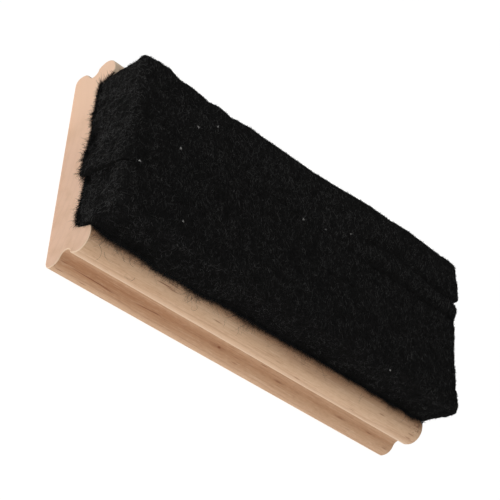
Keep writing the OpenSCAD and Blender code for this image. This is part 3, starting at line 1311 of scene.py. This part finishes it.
@dataclass
class Nap:
    """Loose fibres on the felt: three-sided strands that taper from a root to a point."""

    radius: Range = (0.028, 0.046)  # Least and most radius at the root
    # Shares of the length where a strand has a ring, up to its point
    stations: tuple[float, ...] = (0.0, 0.4, 0.75)
    taper: float = 0.7  # How much of its radius a strand has lost at its point
    turned: float = 0.6  # Part of a normal along an axis past which a face looks that way
    # X and Y past which fibres stand up, by how much, and their length as a share
    rim: Place = (48.5, 18.0)
    rim_lift: Range = (0.3, 1.5)
    rim_length: float = 0.7
    # How far fibres bend to one side, and back to the face
    curl: float = 0.35
    pull: float = 0.6
    # Lighter and darker clumps, and the least light that one has
    clumps: tuple[Ripple, ...] = (Ripple(1.1, 0.8, 91), Ripple(0.7, 2.2, 92))
    least_clump: float = 0.05
    darkness: float = 3.5  # How many more dark fibres there are than light ones, as a power
    # Painted shade in the creases: how much darker a millimetre of valley makes the fibres, and the least and
    # most of that factor, which above 1 is painted light on the ridge
    crease_painted_shade: float = 1.25
    crease_painted_range: Range = (0.2, 1.4)
    # Sideways part of the normal where a side's painted light and shade starts and where it is full
    side_blend: Range = (0.25, 0.95)
    # How the fibres lie on each face, and their painted light and shade there
    lies: dict[Zone, Lie] = field(default_factory=lambda: {
        Zone.WIPING_FACE: Lie((0.10, 1.0, 0.0), 0.60, (0.00, 0.24), (0.35, 1.25), (0.051, 0.88), True),
        Zone.LEFT_END: Lie((0.0, 0.0, -1.0), 2.50, (0.05, 0.60), (0.5, 1.5), (0.045, 1.95)),
        Zone.RIGHT_END: Lie((0.0, 0.0, -1.0), 2.50, (0.05, 0.40), (0.4, 0.9), (0.02, 0.60)),
        Zone.NEAR_SIDE: Lie((-0.7, 0.0, 0.7), 0.70, (0.00, 0.24), (0.35, 1.25), (0.0, 0.72), True),
        Zone.FAR_SIDE: Lie((0.2, 0.0, -1.0), 0.90, (0.02, 0.25), (0.4, 0.9), (0.0, 0.40)),
    })

    def strands(self, paths: Array, radius: Array, shade: Array, rng: np.random.Generator) -> Surface:
        """Strands along given paths.

        Args:
            paths: Points of every path, as strands by stations by xyz, the last one being the tip.
            radius: Root radius of each strand.
            shade: Shade of each strand, from 0 to 1.
            rng: Source of random numbers.

        Returns:
            One closed surface for all: at each station but the last, three points at equal angles round the
            path, at a radius that tapers evenly from the root's, then one point at the tip. On the bake map,
            each strand has a cell of its own.
        """
        count, stations = paths.shape[:2]
        way = unit(np.gradient(paths, axis=1))
        aside = unit(np.cross(way, unit(rng.normal(size=(count, 1, 3)))))
        upward = np.cross(way, aside)
        taper = radius[:, None] * (1.0 - self.taper * np.linspace(0.0, 1.0, stations))[None]
        angle = np.arange(3) * 2 * math.pi / 3
        spoke = aside[:, :, None] * np.cos(angle)[:, None] + upward[:, :, None] * np.sin(angle)[:, None]
        rings = paths[:, :-1, None] + spoke[:, :-1] * taper[:, :-1, None, None]
        each = 3 * (stations - 1) + 1
        points = np.concatenate([rings.reshape(count, -1, 3), paths[:, -1:]], axis=1)
        spot, after = np.arange(3), (np.arange(3) + 1) % 3
        walls = ring_quads(stations - 1, 3)
        last = 3 * (stations - 2)
        tip = np.stack([last + spot, last + after, np.full(3, each - 1)], -1)
        ends = np.concatenate([tip, [[2, 1, 0]]])
        first = (np.arange(count) * each)[:, None, None]
        side = math.ceil(math.sqrt(count))
        cell = np.stack([np.arange(count) % side, np.arange(count) // side], axis=-1)[:, None]
        # Places in a strand's own cell of the bake map, up its length and across it.
        along = np.concatenate([np.repeat(np.linspace(0.2, 0.7, stations - 1), 3), [0.8]])
        around = np.concatenate([np.tile([0.25, 0.5, 0.75], stations - 1), [0.5]])
        return Surface(
            points=points.reshape(-1, 3),
            quads=(first + walls[None]).reshape(-1, 4),
            triangles=(first + ends[None]).reshape(-1, 3),
            values={SHADE: np.repeat(shade, each)},
            bake_map=((cell + np.stack([around, along], -1)[None]) / side).reshape(-1, 2),
        )

    def zones(self, normals: Array) -> dict[Zone, Array]:
        """Sorts roots by the face that they lie on.

        Args:
            normals: The felt's outward normals at the roots.

        Returns:
            Which roots lie on which face.
        """
        left, near = (normals[:, axis] < -self.turned for axis in (0, 1))
        right, far = (normals[:, axis] > self.turned for axis in (0, 1))
        ends = left | right
        return {
            Zone.LEFT_END: left,
            Zone.RIGHT_END: right,
            Zone.NEAR_SIDE: near & ~ends,
            Zone.FAR_SIDE: far & ~ends,
            Zone.WIPING_FACE: ~(ends | near | far),
        }

    def lay(self, roots: Array, normals: Array, lie: Lie, rng: np.random.Generator) -> Array:
        """Paths of fibres that lean away from their roots and bend back to the face.

        Args:
            roots: Where the fibres leave the felt.
            normals: The felt's outward normals there.
            lie: How they lie.
            rng: Source of random numbers.

        Returns:
            Points at the stations t: root + length (t start + t^2 bend), where start leans off the face by
            the lift and bend pulls back towards the face and to one side.
        """
        column = (len(roots), 1)
        heading = np.broadcast_to(np.array(lie.heading), roots.shape)
        forward = unit(heading - (heading * normals).sum(-1, keepdims=True) * normals)
        aside = np.cross(normals, forward)
        turn = rng.normal(0.0, lie.spread, column)
        if lie.both_ways:
            turn = turn + math.pi * rng.integers(0, 2, column)
        edge = (roots[:, :1] > self.rim[0]) | (roots[:, 1:2] > self.rim[1])
        lift = rng.uniform(*lie.lift, column) + np.where(edge, rng.uniform(*self.rim_lift, column), 0.0)
        flat = np.cos(turn) * forward + np.sin(turn) * aside
        start = np.cos(lift) * flat + np.sin(lift) * normals
        curl = rng.normal(0.0, self.curl, column)
        bend = curl * np.cross(normals, flat) - self.pull * np.sin(lift) * normals
        length = rng.uniform(*lie.length, (*column, 1)) * np.where(edge, self.rim_length, 1.0)[:, None]
        t = np.array([*self.stations, 1.0])[None, :, None]
        return roots[:, None] + length * (t * start[:, None] + t**2 * bend[:, None])

    def cover(self, name: str, strip: FeltStrip, count: int, seed: int, material: Material) -> None:
        """Adds the nap of one strip, or a share of it.

        Args:
            name: Name of the piece.
            strip: The strip.
            count: How many fibres it has.
            seed: Seed of the random numbers.
            material: The fibres' material.
        """
        rng = np.random.default_rng(seed)
        roots, normals = strip.roots(count, rng)
        paths = np.empty((count, len(self.stations) + 1, 3))
        clump = np.maximum(sum((ripple.at(roots) for ripple in self.clumps), 1.0), self.least_clump)
        # Painted light: fibres on the far strips are lighter
        shade = rng.random(count) ** self.darkness * clump * strip.sizes.painted_light(roots[:, 1])
        # Painted shade on fibres in the creases, and painted light on the ridge
        valley = strip.valley(roots[:, 0], roots[:, 1])
        shade = shade * np.clip(1.0 - self.crease_painted_shade * valley, *self.crease_painted_range)
        # Painted light and shade by face: each face's fibres get their own light, blended from the wiping
        # face's into a side's
        light = {zone: np.array(lie.light) for zone, lie in self.lies.items()}
        aside = np.where(normals[:, 1:2] < 0.0, light[Zone.NEAR_SIDE], light[Zone.FAR_SIDE])
        steep = smooth_step(*self.side_blend, np.abs(normals[:, 1:2]))
        own = light[Zone.WIPING_FACE] * (1.0 - steep) + aside * steep
        for zone, members in self.zones(normals).items():
            paths[members] = self.lay(roots[members], normals[members], self.lies[zone], rng)
            if zone in (Zone.LEFT_END, Zone.RIGHT_END):
                own[members] = light[zone]
        radius = rng.uniform(*self.radius, count)
        surface = self.strands(paths, radius, own[:, 0] + own[:, 1] * shade, rng)
        add_piece(name, surface, material)


@dataclass
class Fringe:
    """Fibres that hang from the felt over the wood: over the beads beside it and over the sawn ends."""

    handle: HandleMoulding  # The handle that they lie on
    sizes: FeltSizes  # The felt's sizes
    nap: Nap  # The maker of strands
    seeds: tuple[int, int, int] = (2000, 2100, 2200)  # Seeds for the beads, the ends and the strays
    # Fibres on the near and the far bead, and how far from its ends they start
    bead_count: tuple[int, int] = (11000, 2500)
    bead_inset: Range = (0.4, 4.0)
    # Their radius, and the darkest shade with what the lightest adds
    bead_radius: Range = (0.013, 0.026)
    bead_shade: Range = (0.16, 0.40)
    # Their reach between tufts, as a share, and what the tufts change of it
    bead_tuft: float = 0.75
    bead_tufts: Ripple = Ripple(0.3, 2.0, 81)
    # How far the felt reaches round the far bead, and how far under its edge they start
    far_cover: float = 0.2
    bead_root: float = 0.2
    # Their least reach, and the shape and scale of a gamma spread that adds to it
    bead_reach: Point = (0.35, 1.3, 0.62)
    bead_stray: Range = (1.2, 0.5)  # How far they stray along the bead, straight and bending
    # Height over the wood where they start, and how soon it falls, as a power
    bead_lift: Range = (0.1, 1.0)
    bead_settle: float = 1.5
    # Height over the wood that they come down to, and how far they keep from the handle's ends
    bead_clearance: float = 0.03
    bead_margin: float = 0.1
    # Fibres over the left and the right end, and their radius
    end_count: tuple[int, int] = (9500, 3000)
    end_radius: Range = (0.028, 0.050)
    end_climb: float = 1.2  # How far past the seat's edge they start, up the channel's walls
    # Height over the felt's lower edge and share of its reach where they start
    end_lift: Range = (-0.1, 0.7)
    end_depth: Range = (0.2, 1.0)
    end_clearance: float = 0.05  # How far they keep from the sawn face
    end_tufts: Ripple = Ripple(0.3, 1.6, 82)  # What the tufts change of their fall
    # Y and how far they hang over the left end there, as a share, and over the right end
    hang: Path = (
        (-18.0, 0.5), (-17.2, 1.0), (-14.0, 1.0), (-12.9, 0.6), (-8.0, 0.25), (-6.2, 0.3), (-6.1, 1.6),
        (-5.6, 1.5), (-5.0, 1.0), (0.0, 0.9), (2.8, 0.8), (4.0, 0.5), (6.7, 0.55), (8.7, 1.0), (11.0, 0.85),
        (13.4, 0.5), (16.0, 0.7), (17.4, 1.2), (18.0, 0.55)
    )
    right_hang: float = 0.7
    # Their least fall, and the shape and scale of a gamma spread that adds to it
    fall: Point = (0.10, 2.0, 0.23)
    # What the longest add, with the power that keeps these few, and the most of all
    long_fall: Range = (1.1, 5.0)
    most_fall: float = 2.0
    # Y where they splay out at the far corner, how far, and how much less they fall
    splay_run: Range = (15.6, 17.8)
    splay: Range = (0.9, 0.7)
    end_stray: Range = (0.45, 0.35)  # How far they stray sideways, straight and bending
    end_billow: Range = (0.9, 0.5)  # The most that they stand out from the end, and come back to it
    end_shade: Range = (0.3, 3.0)  # Shade of the lightest, and the power that keeps these few
    # Long fibres on the near bead that lie by chance, and points on each
    stray_count: int = 26
    stray_stations: int = 13
    # Least and most X and distance round the bead where they start
    stray_x: Range = (-47.0, 47.0)
    stray_travel: Range = (1.2, 4.0)
    # How far they turn on their way, in radians, and their length
    stray_turn: float = 1.6
    stray_length: Range = (1.0, 2.6)
    # Distances round the bead, and from the handle's ends, that they keep to
    stray_reach: Range = (-0.1, 6.5)
    stray_margin: float = 0.2
    stray_arch: float = 0.12  # The most that their middle stands off the wood
    # Their radius, and shade of the lightest
    stray_radius: float = 0.024
    stray_shade: float = 0.3
    # Single ones: X, distance round the bead, heading, turn and length
    curls: tuple[tuple[float, ...], ...] = (
        (-20.9, 4.0, 0.2, 4.6, 3.0), (-36.6, 5.2, 0.9, 4.2, 4.6), (-47.3, 3.4, 0.4, 1.5, 4.0),
        (-45.6, 3.9, 1.0, -1.4, 3.4), (-23.9, 2.6, 1.1, 1.2, 2.4), (-23.2, 2.7, 0.6, 2.6, 2.6),
        (-22.6, 2.4, 1.9, -1.6, 2.2), (-24.6, 2.5, 1.5, 1.8, 2.0), (-28.4, 1.7, 1.0, 1.5, 2.2),
        (-27.5, 1.8, 0.5, 2.2, 2.6)
    )

    def along_bead(self, side: int, material: Material) -> None:
        """Adds the fibres that lie on a bead.

        Their paths are drawn on the bead's unrolled surface: x and the distance round the bead run from the
        felt's edge along a bent line, and the lift falls from the felt to the wood.

        Args:
            side: -1 for the near bead and 1 for the far one.
            material: The fibres' material.
        """
        rng = np.random.default_rng(self.seeds[0] + side)
        is_far = int(side > 0)
        count = self.bead_count[is_far]
        column = (count, 1)
        t = np.array([*self.nap.stations, 1.0])[None]
        start = rng.uniform(-1.0, 1.0, column) * (self.sizes.half_length - self.bead_inset[is_far])
        tuft = self.bead_tuft + self.bead_tufts.at(start * ALONG_X)[:, None]
        cover = self.far_cover if is_far else follow(self.sizes.near_line, start)
        least, shape, scale = self.bead_reach
        reach = least + rng.gamma(shape, scale, column) * tuft
        drift = rng.normal(0.0, self.bead_stray[0], column) * np.sqrt(reach)
        sweep = rng.normal(0.0, self.bead_stray[1], column) * reach
        limit = self.sizes.half_length - self.bead_margin
        x = np.clip(start + drift * t + sweep * t**2, -limit, limit)
        travel = cover - self.bead_root + reach * t
        lift = rng.uniform(*self.bead_lift, column) * (1.0 - t) ** self.bead_settle + self.bead_clearance
        radius = rng.uniform(*self.bead_radius, count)
        shade = self.bead_shade[0] + self.bead_shade[1] * rng.random(count) ** 2
        surface = self.nap.strands(self.handle.on_bead(x, travel, lift, side), radius, shade, rng)
        add_piece(("fringe_near_bead", "fringe_far_bead")[is_far], surface, material)

    def over_end(self, side: int, material: Material) -> None:
        """Adds the fibres that hang over a sawn end.

        They start on the lower edge of the felt's end and up the channel's walls, fall along -Z, or to +Y at
        the far corner, spread out in Y, stand out from the end and come back towards it as they fall.

        Args:
            side: -1 for the left end and 1 for the right one.
            material: The fibres' material.
        """
        rng = np.random.default_rng(self.seeds[1] + side)
        is_right = int(side > 0)
        sizes, count = self.sizes, self.end_count[is_right]
        column = (count, 1)
        t = np.array([*self.nap.stations, 1.0])[None]
        y0 = rng.uniform(-1.0, 1.0, column) * (sizes.edge[0] + self.end_climb)
        seat, here = np.array(sizes.seat), np.array(side * sizes.half_length)
        joints = np.stack([sizes.joint(number, seat, here) for number in range(1, sizes.count)])
        strip = (y0 < joints[None]).sum(axis=1)
        reach = np.array((sizes.left_reach, sizes.right_reach)[is_right]).mean(axis=1)[strip][:, None]
        foot = np.interp(np.abs(y0), sizes.edge[:2], (sizes.seat, sizes.mouth))
        z0 = foot + rng.uniform(*self.end_lift, column)
        depth = np.maximum(reach, self.end_clearance) * rng.uniform(*self.end_depth, column)
        tuft = 1.0 + self.end_tufts.at(y0 * ALONG_X)[:, None]
        least, shape, scale = self.fall
        hang = self.right_hang if is_right else follow(self.hang, y0)
        fall = (least + rng.gamma(shape, scale, column)) * tuft * hang
        more, power = self.long_fall
        fall = np.minimum(fall + more * rng.random(column) ** power, self.most_fall)
        corner = smooth_step(*self.splay_run, y0)
        straight, bending = (rng.normal(0.0, stray, column) for stray in self.end_stray)
        y = y0 + straight * fall * t + bending * fall * t**2 + self.splay[0] * corner * fall * t
        z = z0 - fall * (1.0 - self.splay[1] * corner) * t
        outward, inward = (rng.uniform(0.0, billow, column) for billow in self.end_billow)
        out = np.maximum(depth + outward * fall * t - inward * fall * t**2, self.end_clearance)
        paths = np.stack([side * (sizes.half_length + out), y, z], axis=-1)
        radius = rng.uniform(*self.end_radius, count)
        light, power = self.end_shade
        surface = self.nap.strands(paths, radius, rng.random(count) ** power * light, rng)
        add_piece(("fringe_left_end", "fringe_right_end")[is_right], surface, material)

    def strays(self, material: Material) -> None:
        """Adds long single fibres on the near bead.

        Each one is part of a circle on the bead's unrolled surface: its heading turns evenly on its way.

        Args:
            material: The fibres' material.
        """
        rng = np.random.default_rng(self.seeds[2])
        chance = np.stack([
            rng.uniform(*self.stray_x, self.stray_count),
            rng.uniform(*self.stray_travel, self.stray_count),
            rng.uniform(0.0, 2 * math.pi, self.stray_count),
            rng.normal(0.0, self.stray_turn, self.stray_count),
            rng.uniform(*self.stray_length, self.stray_count),
        ], axis=-1)
        spots = np.concatenate([chance, np.array(self.curls)])
        count = len(spots)
        start_x, start_travel, heading, turn, length = spots.T[..., None]
        t = np.linspace(0.0, 1.0, self.stray_stations)[None]
        way = heading + turn * t
        step = length / (self.stray_stations - 1)
        limit = self.sizes.half_length - self.stray_margin
        x = np.clip(start_x + np.cumsum(np.cos(way) * step, axis=1), -limit, limit)
        travel = np.clip(start_travel + np.cumsum(np.sin(way) * step, axis=1), *self.stray_reach)
        lift = self.bead_clearance + self.stray_arch * np.sin(math.pi * t) * rng.random((count, 1))
        shade = rng.random(count) * self.stray_shade
        paths = self.handle.on_bead(x, travel, lift, -1)
        surface = self.nap.strands(paths, np.full(count, self.stray_radius), shade, rng)
        add_piece("stray_fibres", surface, material)


@dataclass
class LintSpecks:
    """Pale specks of lint caught in the nap."""

    # X and Y of the larger specks on the wiping face
    places: Path = (
        (-48.1, -7.7), (-38.3, 1.3), (-34.2, 9.25), (-29.1, 12.65), (-35.7, -15.25), (26.7, -20.1),
        (12.8, 8.25), (-2.4, 3.85), (4.7, 5.1)
    )
    height: float = 23.2  # Z that they lie at
    seed: int = 2300  # Seed of the random numbers
    # Fibres in a speck, and points on each fibre
    each: int = 9
    stations: int = 6
    curl: float = 3.5  # How far a fibre turns on its way, in radians
    # Least and most length and radius of a fibre
    length: Range = (0.15, 0.40)
    radius: Range = (0.035, 0.065)
    # How far fibres start from the speck's middle, and how far their own middle rises
    spread: float = 0.05
    arch: float = 0.12

    def build(self, nap: Nap, material: Material) -> None:
        """Adds the specks, each a few short curled fibres.

        Args:
            nap: The maker of strands.
            material: The lint's material.
        """
        rng = np.random.default_rng(self.seed)
        middle = np.repeat(np.array([(x, y, self.height) for x, y in self.places]), self.each, axis=0)
        count = len(middle)
        column = (count, 1)
        t = np.linspace(0.0, 1.0, self.stations)[None]
        heading = rng.uniform(0.0, 2 * math.pi, column) + rng.normal(0.0, self.curl, column) * t
        step = rng.uniform(*self.length, column) / (self.stations - 1)
        x, y, z = (middle + rng.normal(0.0, self.spread, (count, 3))).T[..., None]
        paths = np.stack([
            x + np.cumsum(np.cos(heading) * step, axis=1),
            y + np.cumsum(np.sin(heading) * step, axis=1),
            z + self.arch * np.sin(math.pi * t),
        ], axis=-1)
        surface = nap.strands(paths, rng.uniform(*self.radius, count), rng.random(count), rng)
        add_piece("lint_specks", surface, material)


@dataclass
class FeltPad:
    """The eight strips of felt with their nap, fringe and lint."""

    sizes: FeltSizes = field(default_factory=FeltSizes)  # Sizes that the strips share
    # Valleys and ridges of the wiping face
    creases: tuple[Crease, ...] = (
        Crease(((18.0, 10.2), (28.0, 11.4), (36.0, 10.7), (42.0, 9.7), (60.0, 9.4)), 0.62, 1.0),
        Crease(((16.0, 4.5), (30.0, 4.7), (60.0, 4.2)), 0.62, 1.0),
        Crease(((-48.0, 4.5), (-33.0, 3.4), (-10.0, 4.9), (16.0, 5.0)), 0.22, 0.8),
        Crease(((-6.0, 6.6), (20.0, 7.2), (60.0, 6.9)), -0.40, 1.3),
        Crease(((-60.0, -8.4), (-52.0, -8.2)), 0.35, 0.9),
    )
    nap_count: int = 7400  # Fibres on each strip
    # Further fibres on the first and on the last strip, which have a free side
    side_count: tuple[int, int] = (4500, 9500)
    seed: int = 1000  # Seed of the nap's random numbers, to which each piece adds its own
    # Finish of the felt's fibres
    fibre: FibreFinish = FibreFinish("felt_fibre", (0.0056, 0.0055, 0.0054), (0.092, 0.091, 0.090))
    # Finish of the lint's fibres
    lint: FibreFinish = FibreFinish("lint_fibre", (0.25, 0.25, 0.25), (0.70, 0.69, 0.66))

    def build(self, handle: HandleMoulding) -> None:
        """Adds the strips and everything on them.

        Args:
            handle: The handle that they stand in.
        """
        felt = FeltFinish().material()
        fibre, lint = self.fibre.material(), self.lint.material()
        nap = Nap()
        for number in range(1, self.sizes.count + 1):
            strip = FeltStrip(number, self.sizes, self.creases)
            strip.build(felt)
            extra = {1: self.side_count[0], self.sizes.count: self.side_count[1]}.get(number, 0)
            for part, count in enumerate((self.nap_count, extra)):
                if count:
                    name, seed = f"nap_{number}_{part + 1}", self.seed + 10 * number + part
                    nap.cover(name, strip, count, seed, fibre)
        fringe = Fringe(handle, self.sizes, nap)
        for side in (-1, 1):
            fringe.along_bead(side, fibre)
            fringe.over_end(side, fibre)
        fringe.strays(fibre)
        LintSpecks().build(nap, lint)


@dataclass
class GlueBed:
    """The glue film under the felt, which keeps its solid."""

    node: str = "glue_bed"

    def dress(self) -> None:
        """Gives the solid the glue's material."""
        material = GlueFinish().material()
        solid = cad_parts[self.node]
        solid.data.materials.clear()
        solid.data.materials.append(material)
        LOG.info("%s: dressed", self.node)


@dataclass(frozen=True)
class SoftBox:
    """A square lamp with a soft edge."""

    name: str  # Its name
    place: Point  # Where it stands, in millimetres
    size: float  # Length of its side
    power: float  # Its power in watts

    def build(self, aim: Vector) -> None:
        """Adds the lamp.

        Args:
            aim: The point in metres that it is turned to.
        """
        light = bpy.data.lights.new(self.name, "AREA")
        light.shape = "SQUARE"
        light.size = self.size * MM
        light.energy = self.power
        lamp = add_object(self.name, light)
        lamp.location = Vector(self.place) * MM
        lamp.rotation_euler = (lamp.location - aim).to_track_quat("Z", "Y").to_euler()
        LOG.info("%s: %.1f W", self.name, self.power)


@dataclass
class Studio:
    """The pale floor, the soft light and the camera."""

    floor_side: float = 6000.0  # Length of the floor's side
    floor_cells: int = 8  # Cells of the floor's grid along a side
    floor_drop: float = 0.15  # How far the floor lies under the handle's back
    # Grey and glow of the floor as it lights the object, as a light table does
    floor_lit: Range = (0.85, 0.5)
    floor_seen: Range = (0.22, 0.92)  # Grey and glow of the floor as the camera sees it
    sky: float = 0.48  # Strength of the light from all round
    lamps: tuple[SoftBox, ...] = (SoftBox("key", (-520.0, -430.0, 70.0), 400.0, 1.2),)  # The soft boxes
    aim: Point = (0.0, 0.0, 12.0)  # Where they are turned to
    eye: Point = (-191.844, -188.231, 210.965)  # Where the camera stands
    azimuth: float = -44.756  # Its turn round Z in degrees, 0 looking along +Y
    elevation: float = 37.125  # Its height over the floor's plane in degrees
    roll: float = 63.153  # Its turn about its own axis in degrees
    lens: float = 110.373  # Focal length
    sensor: float = 36.0  # Width of the sensor
    nearest: float = 10.0  # Distance from where on the camera sees

    def floor_material(self) -> Material:
        """Builds a white floor that stays white to the camera outside the object's shadow.

        Returns:
            The material.
        """
        bench = NodeBench("floor_white")
        path = bench.node("LightPath", {})
        seen = bench.math("MAXIMUM", path.outputs["Is Camera Ray"], path.outputs["Is Glossy Ray"])
        seen = bench.math("MAXIMUM", seen, path.outputs["Is Transmission Ray"])
        faces = []
        for grey, glow in (self.floor_lit, self.floor_seen):
            paper = bench.node("BsdfDiffuse", {"Color": (grey, grey, grey, 1.0)})
            light = bench.node("Emission", {"Color": WHITE, "Strength": glow})
            faces.append(bench.node("AddShader", {0: paper.outputs[0], 1: light.outputs[0]}))
        lit, shown = (face.outputs[0] for face in faces)
        return bench.finish(bench.node("MixShader", {0: seen, 1: lit, 2: shown}))

    def add_floor(self) -> None:
        """Adds the floor as a flat grid under the handle."""
        line = np.linspace(-0.5, 0.5, self.floor_cells + 1) * self.floor_side
        x, y = np.meshgrid(line, line, indexing="ij")
        points = np.stack([x, y, np.full_like(x, -self.floor_drop)], axis=-1).reshape(-1, 3)
        number = np.arange(len(points)).reshape(x.shape)
        corners = number[:-1, :-1], number[1:, :-1], number[1:, 1:], number[:-1, 1:]
        quads = np.stack(corners, axis=-1).reshape(-1, 4)
        floor = add_object("floor", Surface(points, quads, np.empty((0, 3), int)).mesh("floor"))
        floor.data.materials.append(self.floor_material())

    def add_sky(self) -> None:
        """Adds even light from all round, white to the camera."""
        bench = NodeBench("studio_sky", sky=True)
        seen = bench.node("LightPath", {}).outputs["Is Camera Ray"]
        strength = bench.span(seen, 0.0, 1.0, self.sky, 1.0)
        sky = bench.node("Background", {"Color": WHITE, "Strength": strength})
        bpy.context.scene.world = bench.finish(sky)

    def add_camera(self) -> None:
        """Adds the camera, turned by its azimuth, elevation and roll."""
        turn, rise, roll = (math.radians(a) for a in (self.azimuth, self.elevation, self.roll))
        back = Vector((math.sin(turn) * math.cos(rise), -math.cos(turn) * math.cos(rise), math.sin(rise)))
        level = Vector((0.0, 0.0, 1.0)).cross(back).normalized()
        above = back.cross(level)
        right = math.cos(roll) * level + math.sin(roll) * above
        up = back.cross(right)
        camera = bpy.data.cameras.new("camera")
        camera.sensor_width = self.sensor
        camera.lens = self.lens
        camera.clip_start = self.nearest * MM
        stand = add_object("camera", camera)
        turned = Matrix((right, up, back)).transposed().to_4x4()
        stand.matrix_world = Matrix.Translation(Vector(self.eye) * MM) @ turned
        bpy.context.scene.camera = stand

    def build(self) -> None:
        """Sets up the floor, the light and the camera."""
        bpy.context.scene.view_settings.view_transform = "Standard"
        self.add_floor()
        self.add_sky()
        for lamp in self.lamps:
            lamp.build(Vector(self.aim) * MM)
        self.add_camera()


def main() -> None:
    """Builds the studio, the handle, the glue and the felt."""
    logging.basicConfig(level=logging.INFO, format="%(name)s: %(message)s")
    Studio().build()
    handle = HandleMoulding()
    handle.build(BeechFinish().material())
    GlueBed().dress()
    FeltPad().build(handle)


if __name__ == "__main__":
    main()
